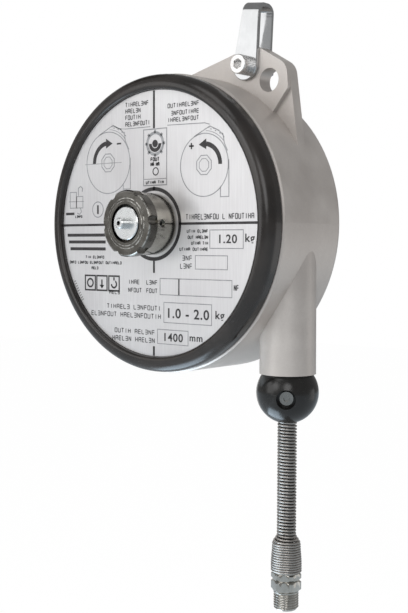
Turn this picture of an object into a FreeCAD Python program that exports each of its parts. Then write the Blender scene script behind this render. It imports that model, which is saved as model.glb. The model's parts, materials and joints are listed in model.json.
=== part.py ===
"""Spring balancer with an air hose, as a parametric assembly in millimetres.

The part's frame: the origin is the inside of the shackle's crown, where the hook bears.
+Z is up, -Y is the front, where the label and the adjusting knob are, and +X is the side
that the hose leaves from. Most sub-parts are drawn in the case frame, whose origin is where
the case axis meets the label's face, and are set in place by their Placement.
"""
import FreeCAD, Part
import math
import os
import re
import Sketcher
from FreeCAD import Placement, Rotation, Vector

# Driving dimensions: alias, value, what it is.
SIZES = [
    ("case_radius", 79.0, "round case, outside"),
    ("case_front", 7.8, "front edge of the case behind the label's face"),
    ("case_wall", 3.0, "side wall of the case"),
    ("case_floor", 3.2, "rear wall of the case"),
    ("case_rear_fillet", 4.0, "rounding of the rear edge"),
    ("case_edge_chamfer", 0.8, "chamfer of the front edge"),
    ("boss_radius", 12.0, "rear bearing boss, inside the case"),
    ("boss_length", 3.2, "how far that boss stands off the rear wall"),
    ("boss_pad_radius", 17.0, "raised pad behind the bearing"),
    ("boss_pad_height", 1.5, "height of that pad"),
    ("outlet_inset", 15.5, "hose line inside the case wall"),
    ("outlet_mouth", 76.8, "mouth of the outlet neck below the case axis"),
    ("outlet_top_radius", 14.2, "outlet neck at the case axis"),
    ("outlet_mouth_radius", 14.6, "outlet neck at its mouth"),
    ("outlet_bore", 11.0, "radius of the neck's bore"),
    ("lug_front", 31.0, "front face of the hanging lug"),
    ("lug_rear", 40.0, "rear face of the lug and its web"),
    ("web_front", 33.5, "front face of the web beside the lug"),
    ("lug_top_x", 40.9, "centre of the lug's top round"),
    ("lug_top_rise", 1.9, "height of that centre above the case"),
    ("lug_top_radius", 11.0, "radius of the lug's top round"),
    ("lug_side_x", 54.3, "centre of the lug's side round"),
    ("lug_side_drop", 3.6, "that centre below the top of the case"),
    ("lug_side_radius", 9.0, "radius of the lug's side round"),
    ("lug_shoulder_x", 61.0, "centre of the small round under the lug's side"),
    ("lug_shoulder_drop", 9.0, "that centre below the top of the case"),
    ("lug_shoulder_radius", 2.8, "radius of that small round"),
    ("lug_left_angle", 104.6, "where the lug's left edge meets the case"),
    ("lug_corner_angle", 46.5, "where the lug's right edge meets the case"),
    ("web_foot_angle", 30.0, "where the web's right edge meets the case"),
    ("safety_x", 51.8, "safety hole from the case axis"),
    ("safety_drop", 5.3, "safety hole below the top of the case"),
    ("safety_radius", 6.1, "radius of the safety hole"),
    ("pivot_x", 37.5, "shackle screw from the case axis"),
    ("pivot_rise", 3.4, "height of that screw above the case"),
    ("pivot_radius", 3.0, "shackle screw's shank"),
    ("pivot_clearance", 0.1, "radial play of that screw in the lug"),
    ("shackle_reach", 30.6, "from the screw to the inside of the crown"),
    ("shackle_lean", 7.5, "lean of the shackle towards the hose, degrees"),
    ("shackle_strap", 2.0, "thickness of the strap"),
    ("shackle_gap", 0.2, "play between a leg and the lug"),
    ("shackle_eye_radius", 7.7, "round end of a leg"),
    ("shackle_crown_half", 5.1, "half the strap's width at the crown"),
    ("shackle_inner_round", 3.0, "inner corners of the crown"),
    ("shackle_outer_round", 5.0, "outer corners of the crown"),
    ("shackle_edge", 0.35, "broken edges of the strap"),
    ("screw_head_radius", 5.0, "shackle screw's head"),
    ("screw_head_height", 5.9, "height of that head"),
    ("screw_edge", 0.4, "broken edge of that head and of the screw's tip"),
    ("screw_socket_radius", 2.9, "hexagon socket across corners, halved"),
    ("screw_socket_depth", 3.4, "depth of that socket"),
    ("nut_flats", 10.0, "shackle nut across flats"),
    ("nut_height", 5.5, "height of that nut"),
    ("screw_tip", 1.5, "screw end beyond the nut"),
    ("label_play", 0.2, "play of the label plate in its recess"),
    ("label_thickness", 0.8, "thickness of the label plate"),
    ("label_hole", 9.0, "hole in the label plate for the knob's hub"),
    ("cover_plate", 2.5, "thickness of the cover behind the label"),
    ("spigot_wall", 5.5, "wall of the cover inside the case"),
    ("rim_width", 8.2, "width of the cover rim"),
    ("rim_step", 0.8, "cover rim inside the case outline"),
    ("rim_front", 3.0, "how far the rim stands before the label"),
    ("rim_outer_round", 6.0, "outer rounding of the rim"),
    ("rim_inner_round", 1.8, "inner rounding of the rim"),
    ("rim_back_round", 1.0, "rear rounding of the rim"),
    ("spigot_depth", 3.0, "how far the cover reaches into the case"),
    ("fit_gap", 0.1, "play of located fits, radial"),
    ("hub_radius", 14.0, "bearing hub of the cover"),
    ("hub_depth", 3.5, "depth of that hub behind the cover plate"),
    ("case_screw_inset", 2.0, "case screws inside the case wall"),
    ("case_screw_angle", 20.0, "first case screw from the +X side, degrees"),
    ("case_screw_radius", 2.0, "case screw's shank"),
    ("case_screw_head", 3.5, "case screw's head"),
    ("case_screw_head_height", 3.0, "height of that head"),
    ("case_screw_sink", 4.0, "depth of its counterbore"),
    ("case_screw_start", 3.2, "front end of the case screws"),
    ("tip_gap", 0.5, "room beyond a screw tip"),
    ("case_post_radius", 4.0, "post round each case screw"),
    ("spindle_radius", 6.0, "front journal of the spindle"),
    ("spindle_main", 7.0, "spindle inside the drum's hub"),
    ("spindle_tail", 5.0, "rear journal of the spindle"),
    ("spindle_tail_reach", 1.4, "rear journal beyond the rear wall inner face"),
    ("shoulder_radius", 11.0, "spindle's shoulder"),
    ("shoulder_thickness", 2.0, "thickness of that shoulder"),
    ("air_bore", 2.0, "radius of the spindle's air way"),
    ("air_port_depth", 5.6, "air port behind the front of the drum hub"),
    ("air_groove_depth", 0.8, "ring groove round the air port"),
    ("air_groove_half", 1.5, "half the width of that groove"),
    ("seal_offset", 3.6, "each seal from the air port"),
    ("seal_radius", 0.9, "section of a seal"),
    ("seal_depth", 1.3, "depth of its groove"),
    ("washer_thickness", 1.2, "friction washer"),
    ("washer_bore", 6.3, "bore radius of the washer and disc spring"),
    ("disc_spring_height", 1.2, "height of the disc spring"),
    ("disc_spring_stock", 0.7, "its sheet's thickness"),
    ("bush_wall", 1.6, "wall of the plain bushes"),
    ("bush_play", 0.05, "running play, radial"),
    ("bush_length", 6.0, "length of a drum bush"),
    ("collar_radius", 16.2, "knob collar, outside"),
    ("collar_gap", 0.4, "collar off the label"),
    ("collar_length", 14.0, "length of the knob collar"),
    ("collar_web", 6.0, "solid front of the collar"),
    ("collar_wall", 2.4, "skirt of the collar"),
    ("knob_radius", 17.1, "fluted knob, outside"),
    ("knob_thickness", 6.9, "thickness of the fluted knob"),
    ("knob_recess", 9.9, "radius of the knob's recess"),
    ("knob_recess_depth", 4.7, "depth of that recess"),
    ("knob_step", 12.9, "radius of the outer step of its face"),
    ("knob_step_inner", 11.5, "radius of the inner step of its face"),
    ("knob_step_height", 0.25, "height of each of those steps"),
    ("knob_chamfer", 0.8, "edge of the knob"),
    ("flute_radius", 2.6, "radius of a flute"),
    ("flute_offset", 0.9, "flute centres outside the knob"),
    ("flute_angle", 5.0, "first flute from the +X side, degrees"),
    ("grub_radius", 2.0, "collar set screw"),
    ("grub_inset", 3.5, "set screw behind the front of the collar"),
    ("grub_sink", 1.0, "set screw below the collar's surface"),
    ("nipple_flange", 8.6, "air nipple's round head"),
    ("nipple_flange_height", 4.0, "height of that head"),
    ("nipple_sink", 0.1, "its face behind the front of the knob"),
    ("nipple_chamfer", 0.4, "its bright chamfer"),
    ("nipple_stub", 2.8, "radius of the hose stub"),
    ("nipple_stub_length", 5.0, "length of the hose stub"),
    ("nipple_lead", 0.5, "lead-in of the hose stub"),
    ("nipple_bore", 1.2, "radius of its air way"),
    ("nipple_tail", 4.0, "its tail in the spindle"),
    ("nipple_tail_length", 6.0, "length of that tail"),
    ("hose_radius", 3.6, "hose, outside"),
    ("hose_bore", 2.25, "hose, inside"),
    ("lane_gap", 0.3, "play between two turns of hose"),
    ("drum_wall", 2.6, "rim wall of the drum"),
    ("drum_gap", 0.9, "play of the drum flanges in the cover"),
    ("drum_flange_thickness", 1.5, "thickness of a flange"),
    ("drum_play", 1.8, "front flange behind the cover plate"),
    ("spring_play", 1.4, "room behind the mainspring"),
    ("web_offset", 5.4, "web behind the air port"),
    ("drum_web", 2.4, "thickness of that web"),
    ("drum_hub", 12.0, "radius of the drum's hub"),
    ("hub_play", 0.4, "drum hub behind the shoulder of the spindle"),
    ("spring_hub", 9.6, "hub behind the web, inside the mainspring"),
    ("drum_cover_thickness", 2.0, "drum cover"),
    ("boss_play", 0.6, "drum cover before the rear bearing boss"),
    ("drum_boss_inset", 3.8, "screw bosses of the drum cover inside the rim wall"),
    ("drum_boss_radius", 3.6, "boss under each of those screws"),
    ("drum_screw_radius", 1.4, "drum cover screw"),
    ("drum_screw_length", 9.0, "length of its shank"),
    ("drum_screw_head", 2.8, "its head"),
    ("drum_screw_head_height", 1.6, "height of that head"),
    ("spring_stock", 1.0, "thickness of the mainspring strip"),
    ("spring_width", 23.0, "width of the strip"),
    ("spring_room", 6.8, "end of the spiral inside the circle of the bosses"),
    ("spring_first", 10.2, "inner radius of the spiral"),
    ("spring_halves", 15, "half turns of the spiral, an odd number"),
    ("spring_slot", 1.6, "slot in the spindle for the strip's end"),
    ("anchor_radius", 2.4, "pin that holds the strip's outer end"),
    ("fitting_flats", 8.0, "hub fitting across flats"),
    ("fitting_hex_length", 5.0, "length of its hexagon"),
    ("fitting_barb_length", 9.0, "its barb inside the hose"),
    ("fitting_thread_length", 3.0, "its thread in the drum's hub"),
    ("fitting_port", 1.5, "radius of its air way"),
    ("fitting_wall", 1.5, "wall round that air way"),
    ("barb_lead", 0.3, "taper of a barb's end"),
    ("outlet_bush_length", 13.0, "guide bush in the neck"),
    ("outlet_bush_flare", 2.5, "flare of its upper mouth"),
    ("outlet_play", 0.4, "play round the hose"),
    ("ball_radius", 16.15, "ball stop"),
    ("ball_drop", 9.7, "ball's centre below the neck's mouth"),
    ("stop_gap", 0.3, "ball's flat top below the neck's mouth"),
    ("stop_hole", 5.0, "radius of the hole for the stop screw's head"),
    ("stop_hole_depth", 9.0, "from the ball's surface to that head's seat"),
    ("stop_hole_drop", 2.0, "stop screw below the ball's centre"),
    ("stop_hole_angle", 33.0, "turn of the stop screw from the front, degrees"),
    ("stop_screw_radius", 2.0, "stop screw's shank"),
    ("stop_screw_head", 3.5, "stop screw's head"),
    ("stop_screw_head_height", 3.0, "height of that head"),
    ("sleeve_half", 5.0, "half its length"),
    ("guard_inset", 8.5, "upper end of the guard's coil below the ball's centre"),
    ("guard_play", 0.3, "play of the spring guard round the hose"),
    ("guard_wire", 1.2, "its wire"),
    ("guard_straight", 65.4, "straight length of the guard"),
    ("guard_flare", 5.2, "length of its first flare"),
    ("guard_flare_step", 2.4, "widening in that flare"),
    ("guard_wide_step", 0.6, "further widening down to the nut"),
    ("guard_widening", 10.4, "length of that further widening"),
    ("guard_foot", 4.5, "last, straight length of the guard"),
    ("neck_play", 0.3, "play of the coil round the union nut neck"),
    ("union_neck_length", 9.5, "length of that neck inside the coil"),
    ("union_hex_gap", 0.3, "union nut's hexagon below the coil"),
    ("union_hex_length", 3.2, "length of that hexagon"),
    ("wrench_flats", 14.0, "both hexagons at the hose end, across flats"),
    ("wrench_turn", -2.3, "turn of those hexagons, degrees"),
    ("fitting_gap_length", 0.8, "bare neck between the hexagons"),
    ("fitting_neck", 5.6, "radius of that neck"),
    ("fitting_hexagon", 5.0, "length of the fitting's hexagon"),
    ("thread_radius", 6.58, "male pipe thread, major radius"),
    ("thread_length", 10.2, "length of the thread"),
    ("thread_chamfer", 1.2, "its lead-in"),
    ("end_bore", 3.4, "bore of the end fitting's thread"),
    ("barb_bore", 1.5, "bore of its barb"),
    ("barb_length", 18.0, "length of its barb in the hose"),
]

# Values that follow from the driving dimensions.
DERIVED = {
    "case_x": "-(pivot_x + shackle_reach * sin(shackle_lean))",
    "case_y": "-(lug_front + lug_rear) / 2",
    "case_z": "-(pivot_z + shackle_reach * cos(shackle_lean))",
    "case_inner": "case_radius - case_wall",
    "case_rear": "drum_cover_back + boss_play + boss_length + case_floor",
    "floor_front": "case_rear - case_floor",
    "boss_front": "floor_front - boss_length",
    "lug_top_z": "case_radius + lug_top_rise",
    "lug_side_z": "case_radius - lug_side_drop",
    "lug_shoulder_z": "case_radius - lug_shoulder_drop",
    "safety_z": "case_radius - safety_drop",
    "pivot_z": "case_radius + pivot_rise",
    "rim_radius": "case_radius - rim_step",
    "rim_inner": "rim_radius - rim_width",
    "label_radius": "rim_inner - label_play",
    "cover_inner": "case_inner - fit_gap - spigot_wall",
    "cover_back": "label_thickness + cover_plate",
    "case_screw_circle": "case_inner - case_screw_inset",
    "hub_back": "cover_back + hub_depth",
    "spigot_back": "case_front + spigot_depth",
    "washer_back": "hub_back + washer_thickness",
    "shoulder_front": "washer_back + disc_spring_height",
    "shoulder_back": "shoulder_front + shoulder_thickness",
    "collar_front": "collar_gap + collar_length",
    "grub_y": "collar_front - grub_inset",
    "knob_front": "collar_front + knob_thickness",
    "flute_circle": "knob_radius + flute_offset",
    "nipple_face": "knob_front - nipple_sink",
    "spindle_front": "nipple_face - nipple_flange_height",
    "spindle_tail_start": "drum_rear - fit_gap * 2",
    "spindle_tail_end": "floor_front + spindle_tail_reach",
    "outlet_x": "case_radius - outlet_inset",
    "outlet_y": "drum_front + drum_flange_thickness + lane_gap + hose_radius + lane_pitch * 3",
    "lane_pitch": "hose_radius * 2 + lane_gap",
    "groove_radius": "outlet_x - hose_radius - fit_gap",
    "drum_inner": "groove_radius - drum_wall",
    "drum_flange": "cover_inner - drum_gap",
    "drum_front": "cover_back + drum_play",
    "rear_flange": "outlet_y + hose_radius + lane_gap",
    "drum_hub_front": "shoulder_back + hub_play",
    "air_port_y": "drum_hub_front + air_port_depth",
    "drum_web_front": "air_port_y + web_offset",
    "web_back": "drum_web_front + drum_web",
    "drum_rear": "spring_front + spring_width + spring_play",
    "drum_cover_back": "drum_rear + drum_cover_thickness",
    "drum_cover_radius": "groove_radius",
    "drum_boss_circle": "drum_inner - drum_boss_inset",
    "spring_front": "web_back + boss_play",
    "spring_end": "drum_boss_circle - spring_room",
    "spring_pitch": "(spring_end - spring_first) * 2 / (spring_halves - 1)",
    "spring_pin_x": "spring_end + spring_stock / 2 + anchor_radius",
    "hub_bush_outer": "spindle_main + bush_wall",
    "front_bush_outer": "spindle_radius + bush_wall",
    "rear_bush_outer": "spindle_tail + bush_wall",
    "seal_groove": "spindle_main - seal_depth",
    "sleeve_z": "ball_drop + stop_hole_drop",
    "sleeve_radius": "guard_radius",
    "guard_radius": "hose_radius + guard_play + guard_wire",
    "guard_flare_radius": "guard_radius + guard_flare_step",
    "guard_end_radius": "guard_flare_radius + guard_wide_step",
    "guard_top": "ball_drop + guard_inset",
    "guard_flare_start": "guard_top + guard_straight",
    "guard_flare_end": "guard_flare_start + guard_flare",
    "guard_wide": "guard_flare_end + guard_widening",
    "guard_end": "guard_wide + guard_foot",
    "union_neck": "guard_end_radius - guard_wire - neck_play",
    "union_neck_top": "guard_end - union_neck_length",
    "union_hex_top": "guard_end + union_hex_gap",
    "union_hex_end": "union_hex_top + union_hex_length",
    "fitting_hex_end": "union_hex_end + fitting_gap_length + fitting_hexagon",
    "thread_end": "fitting_hex_end + thread_length",
    "barb_top": "union_hex_end - barb_length",
    "leg_face": "(lug_rear - lug_front) / 2 + shackle_gap",
    "leg_back": "leg_face + shackle_strap",
}


# Document, sheet and expressions

doc = FreeCAD.newDocument("balancer")
sheet = doc.addObject("Spreadsheet::Sheet", "Sizes")
for row, (alias, size, note) in enumerate(SIZES, start=1):
    sheet.set(f"A{row}", alias)
    sheet.set(f"B{row}", str(size))
    sheet.set(f"C{row}", note)
    sheet.setAlias(f"B{row}", alias)
doc.recompute()
ALIASES = {alias for alias, size, note in SIZES}
WORD = re.compile(r"[a-z_]+")


def plain(expression):
    """The expression with every derived value written out in sheet aliases."""
    def swap(match):
        word = match.group(0)
        return f"({plain(DERIVED[word])})" if word in DERIVED else word
    return WORD.sub(swap, str(expression))


def bound(expression):
    """The expression as another object of the document reads it."""
    def swap(match):
        word = match.group(0)
        return f"Sizes.{word}" if word in ALIASES else word
    return WORD.sub(swap, plain(expression))


def number(expression):
    """The expression's present value in millimetres or degrees."""
    return float(sheet.evalExpression(plain(expression)))


# Bodies, sketches and features

FRAMES = {
    "case": ("case_x", "case_y", "case_z"),
    "hose": ("case_x + outlet_x", "case_y + outlet_y", "case_z - outlet_mouth"),
    "shackle": ("case_x + pivot_x", "0", "case_z + pivot_z"),
}
nodes = []


def place(item, frame):
    """Set a sub-part in the part's frame, bound to the sheet."""
    for axis, expression in zip("xyz", FRAMES[frame]):
        item.setExpression(f"Placement.Base.{axis}", bound(expression))


def new_body(name, frame="case", several=False):
    body = doc.addObject("PartDesign::Body", name)
    body.Label = name
    body.AllowCompound = several
    place(body, frame)
    nodes.append(body)
    return body


def origin_feature(body, role):
    return next(item for item in body.Origin.OriginFeatures if item.Role == role)


def new_sketch(body, plane, offset="0"):
    """A sketch on one of the body's planes: XY (x, y), XZ (x, z) or YZ (y, z)."""
    sketch = body.newObject("Sketcher::SketchObject", f"{body.Name}_sketch")
    sketch.AttachmentSupport = [(origin_feature(body, f"{plane}_Plane"), "")]
    sketch.MapMode = "FlatFace"
    sign = "-" if plane == "XZ" else ""
    sketch.setExpression("AttachmentOffset.Base.z", f"{sign}({bound(offset)})")
    return sketch


def dimension(sketch, kind, references, expression):
    """A driving dimension whose value is bound to the sheet."""
    index = sketch.addConstraint(Sketcher.Constraint(kind, *references, number(expression)))
    sketch.setExpression(f"Constraints[{index}]", bound(expression))


def pin(sketch, geometry, end, x, y):
    dimension(sketch, "DistanceX", (-1, 1, geometry, end), x)
    dimension(sketch, "DistanceY", (-1, 1, geometry, end), y)


def draw_polygon(sketch, points):
    """A closed outline through points, each a pair of expressions."""
    spots = [Vector(number(x), number(y), 0) for x, y in points]
    first = sketch.GeometryCount
    for here, there in zip(spots, spots[1:] + spots[:1]):
        sketch.addGeometry(Part.LineSegment(here, there))
    for step in range(len(spots)):
        following = first + (step + 1) % len(spots)
        sketch.addConstraint(Sketcher.Constraint("Coincident", first + step, 2, following, 1))
    for step, (x, y) in enumerate(points):
        pin(sketch, first + step, 1, x, y)


def draw_circle(sketch, x, y, radius):
    centre = Vector(number(x), number(y), 0)
    index = sketch.addGeometry(Part.Circle(centre, Vector(0, 0, 1), number(radius)))
    pin(sketch, index, 3, x, y)
    dimension(sketch, "Radius", (index,), radius)


def draw_hexagon(sketch, flats, turn="0"):
    """A hexagon about the sketch's origin, by its width across flats."""
    corners = [(f"({flats}) / sqrt(3) * cos({angle} + ({turn}))",
                f"({flats}) / sqrt(3) * sin({angle} + ({turn}))") for angle in range(30, 390, 60)]
    draw_polygon(sketch, corners)


def draw_belt(sketch, rounds):
    """A convex outline, counterclockwise, round circles given as (x, y, radius).

    A radius of "0" is a plain corner. The straight runs are tangent to the circles.
    """
    values = [(number(x), number(y), number(radius)) for x, y, radius in rounds]
    normals = []
    for (x, y, radius), (next_x, next_y, next_radius) in zip(values, values[1:] + values[:1]):
        heading = math.atan2(next_y - y, next_x - x)
        run = math.hypot(next_x - x, next_y - y)
        normals.append(heading - math.acos((radius - next_radius) / run))

    def rim(index, angle):
        x, y, radius = values[index]
        return Vector(x + radius * math.cos(angle), y + radius * math.sin(angle), 0)

    chain = []
    for index, (x, y, radius) in enumerate(values):
        following = (index + 1) % len(values)
        if radius:
            start, end = normals[index - 1], normals[index]
            circle = Part.Circle(Vector(x, y, 0), Vector(0, 0, 1), radius)
            while end < start:
                end += 2 * math.pi
            arc = sketch.addGeometry(Part.ArcOfCircle(circle, start, end))
            pin(sketch, arc, 3, rounds[index][0], rounds[index][1])
            dimension(sketch, "Radius", (arc,), rounds[index][2])
            chain.append(("arc", arc))
        line = sketch.addGeometry(Part.LineSegment(rim(index, normals[index]),
                                                   rim(following, normals[index])))
        if not radius:
            pin(sketch, line, 1, rounds[index][0], rounds[index][1])
        chain.append(("line", line))
    for (kind, here), (next_kind, there) in zip(chain, chain[1:] + chain[:1]):
        joint = "Coincident" if kind == next_kind else "Tangent"
        sketch.addConstraint(Sketcher.Constraint(joint, here, 2, there, 1))


def finish(body, feature):
    body.Tip = feature
    doc.recompute()
    return feature


def turn(body, axis, points, cut=False):
    """Revolve an outline about the body's Y or Z axis; points are (radius, along) pairs."""
    sketch = new_sketch(body, "XY" if axis == "Y" else "XZ")
    draw_polygon(sketch, points)
    kind = "PartDesign::Groove" if cut else "PartDesign::Revolution"
    feature = body.newObject(kind, f"{body.Name}_turn")
    feature.Profile = sketch
    feature.ReferenceAxis = (sketch, ["V_Axis"])
    feature.Angle = 360
    return finish(body, feature)


def pad(body, sketch, length, backwards=False):
    feature = body.newObject("PartDesign::Pad", f"{body.Name}_pad")
    feature.Profile = sketch
    feature.setExpression("Length", bound(length))
    feature.Reversed = backwards
    return finish(body, feature)


def pocket(body, sketch, length, backwards=False, both=False):
    feature = body.newObject("PartDesign::Pocket", f"{body.Name}_pocket")
    feature.Profile = sketch
    feature.setExpression("Length", bound(length))
    feature.Reversed = backwards
    feature.Midplane = both
    return finish(body, feature)


def repeat(body, features, axis, count):
    """Repeat features evenly round the body's own axis."""
    feature = body.newObject("PartDesign::PolarPattern", f"{body.Name}_pattern")
    feature.Originals = features
    feature.Axis = (origin_feature(body, f"{axis}_Axis"), [""])
    feature.Angle = 360
    feature.Occurrences = count
    return finish(body, feature)


def edge_names(shape, wanted):
    return [f"Edge{index}" for index, edge in enumerate(shape.Edges, start=1) if wanted(edge)]


def ring_edges(shape, axis, radius, along):
    """Names of the circular edges about Y or Z of one radius at one place."""
    radius, along = number(radius), number(along)

    def wanted(edge):
        curve = edge.Curve
        if not isinstance(curve, Part.Circle) or abs(curve.Radius - radius) > 0.01:
            return False
        centre = curve.Center
        height, off = (centre.y, math.hypot(centre.x, centre.z)) if axis == "Y" else \
            (centre.z, math.hypot(centre.x, centre.y))
        return abs(height - along) < 0.01 and off < 0.01
    return edge_names(shape, wanted)


def soften(body, kind, edges, size):
    """A Fillet or Chamfer of the named edges of the body's last feature."""
    base = body.Tip
    feature = body.newObject(f"PartDesign::{kind}", f"{body.Name}_{kind.lower()}")
    feature.Base = (base, edges)
    feature.setExpression("Radius" if kind == "Fillet" else "Size", bound(size))
    return finish(body, feature)


def polar(radius, angle):
    return f"({radius}) * cos({angle})", f"({radius}) * sin({angle})"


# Cast housing

def make_housing():
    """Round case, hanging lug with its web and the outlet neck, in one casting."""
    body = new_body("housing")
    turn(body, "Y", [("0", "case_front"), ("case_radius", "case_front"),
                     ("case_radius", "case_rear"), ("0", "case_rear")])
    soften(body, "Fillet", ring_edges(body.Tip.Shape, "Y", "case_radius", "case_rear"),
           "case_rear_fillet")
    soften(body, "Chamfer", ring_edges(body.Tip.Shape, "Y", "case_radius", "case_front"),
           "case_edge_chamfer")
    left = polar("case_radius", "lug_left_angle")
    top = ("lug_top_x", "lug_top_z", "lug_top_radius")
    side = ("lug_side_x", "lug_side_z", "lug_side_radius")
    shoulder = ("lug_shoulder_x", "lug_shoulder_z", "lug_shoulder_radius")
    web = new_sketch(body, "XZ", "web_front")
    draw_belt(web, [("0", "0", "0"), (*polar("case_radius", "web_foot_angle"), "0"),
                    side, top, (*left, "0")])
    pad(body, web, "lug_rear - web_front", backwards=True)
    lug = new_sketch(body, "XZ", "lug_front")
    draw_belt(lug, [("0", "0", "0"), (*polar("case_radius", "lug_corner_angle"), "0"),
                    shoulder, side, top, (*left, "0")])
    pad(body, lug, "lug_rear - lug_front", backwards=True)
    neck = body.newObject("PartDesign::AdditiveCone", "outlet_neck")
    neck.AttachmentSupport = [(origin_feature(body, "XY_Plane"), "")]
    neck.MapMode = "FlatFace"
    neck.setExpression("AttachmentOffset.Base.x", bound("outlet_x"))
    neck.setExpression("AttachmentOffset.Base.y", bound("outlet_y"))
    neck.setExpression("AttachmentOffset.Base.z", bound("-outlet_mouth"))
    neck.setExpression("Radius1", bound("outlet_mouth_radius"))
    neck.setExpression("Radius2", bound("outlet_top_radius"))
    neck.setExpression("Height", bound("outlet_mouth"))
    finish(body, neck)
    hollow_housing(body)
    drill_housing(body)
    return body


def hollow_housing(body):
    """The drum's room, the rear bearing boss, the screw posts and the neck's bore."""
    turn(body, "Y", [("0", "case_front - 1"), ("case_inner", "case_front - 1"),
                     ("case_inner", "floor_front"), ("boss_radius", "floor_front"),
                     ("boss_radius", "boss_front"), ("0", "boss_front")], cut=True)
    bore = new_sketch(body, "XY")
    draw_circle(bore, "outlet_x", "outlet_y", "outlet_bore")
    pocket(body, bore, "outlet_mouth + 1")
    raised = new_sketch(body, "XZ", "case_rear")
    draw_circle(raised, "0", "0", "boss_pad_radius")
    pad(body, raised, "boss_pad_height", backwards=True)
    journal = new_sketch(body, "XZ", "boss_front")
    draw_circle(journal, "0", "0", "rear_bush_outer")
    pocket(body, journal, "spindle_tail_end + 0.5 - boss_front")
    post = new_sketch(body, "XZ", "spigot_back + 0.2")
    draw_circle(post, *polar("case_screw_circle", "case_screw_angle"), "case_post_radius")
    one = pad(body, post, "floor_front - spigot_back", backwards=True)
    repeat(body, [one], "Y", 4)


def drill_housing(body):
    """Holes for the case screws, the shackle screw and the safety line."""
    spot = polar("case_screw_circle", "case_screw_angle")
    shank = new_sketch(body, "XZ", "case_front - 1")
    draw_circle(shank, *spot, "case_screw_radius + fit_gap")
    drilled = pocket(body, shank, "case_rear")
    sink = new_sketch(body, "XZ", "case_rear - case_screw_sink")
    draw_circle(sink, *spot, "case_screw_head + fit_gap")
    sunk = pocket(body, sink, "case_screw_sink + 1")
    repeat(body, [drilled, sunk], "Y", 4)
    lug_holes = new_sketch(body, "XZ", "lug_front - 1")
    draw_circle(lug_holes, "pivot_x", "pivot_z", "pivot_radius + pivot_clearance")
    draw_circle(lug_holes, "safety_x", "safety_z", "safety_radius")
    pocket(body, lug_holes, "lug_rear - lug_front + 2")


# Front cover, label and the case screws

def make_front_cover():
    """Black cover with its rounded rim; the label lies in its recess."""
    body = new_body("front_cover")
    bore = "front_bush_outer"
    turn(body, "Y", [(bore, "label_thickness"), ("rim_inner", "label_thickness"),
                     ("rim_inner", "-rim_front"), ("rim_radius", "-rim_front"),
                     ("rim_radius", "case_front"), ("case_inner - fit_gap", "case_front"),
                     ("case_inner - fit_gap", "spigot_back"), ("cover_inner", "spigot_back"),
                     ("cover_inner", "cover_back"), ("hub_radius", "cover_back"),
                     ("hub_radius", "hub_back"), (bore, "hub_back")])
    for radius, along, size in (("rim_radius", "-rim_front", "rim_outer_round"),
                                ("rim_inner", "-rim_front", "rim_inner_round"),
                                ("rim_radius", "case_front", "rim_back_round")):
        soften(body, "Fillet", ring_edges(body.Tip.Shape, "Y", radius, along), size)
    threads = new_sketch(body, "XZ", "case_screw_start - tip_gap")
    draw_circle(threads, *polar("case_screw_circle", "case_screw_angle"),
                "case_screw_radius + bush_play")
    one = pocket(body, threads, "spigot_back")
    repeat(body, [one], "Y", 4)


def make_label_plate():
    body = new_body("label_plate")
    turn(body, "Y", [("label_hole", "0"), ("label_radius", "0"),
                     ("label_radius", "label_thickness"), ("label_hole", "label_thickness")])


def ring_of_screws(name, count, circle, angle, profile):
    """Equal screws along Y, spread evenly on a circle; profile is (radius, along) pairs."""
    body = new_body(name, several=True)
    sketch = new_sketch(body, "XZ", profile[0][1])
    draw_circle(sketch, *polar(circle, angle), profile[0][0])
    shank = pad(body, sketch, f"({profile[1][1]}) - ({profile[0][1]})", backwards=True)
    sketch = new_sketch(body, "XZ", profile[1][1])
    draw_circle(sketch, *polar(circle, angle), profile[1][0])
    head = pad(body, sketch, f"({profile[2][1]}) - ({profile[1][1]})", backwards=True)
    socket = new_sketch(body, "XZ", f"({profile[2][1]}) - ({profile[2][0]}) * 1.1")
    draw_circle(socket, *polar(circle, angle), profile[2][0])
    drive = pocket(body, socket, f"({profile[2][0]}) * 1.1 + 1")
    repeat(body, [shank, head, drive], "Y", count)


def make_case_screws():
    seat = "case_rear - case_screw_sink"
    ring_of_screws("case_screws", 4, "case_screw_circle", "case_screw_angle",
                   [("case_screw_radius", "case_screw_start"), ("case_screw_head", seat),
                    ("case_screw_radius * 0.75", f"{seat} + case_screw_head_height")])


def make_bush(name, outer, bore, start, end):
    """Plain bearing bush about the case axis."""
    turn(new_body(name), "Y", [(bore, start), (outer, start), (outer, end), (bore, end)])


# Spindle and adjusting knob

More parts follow.
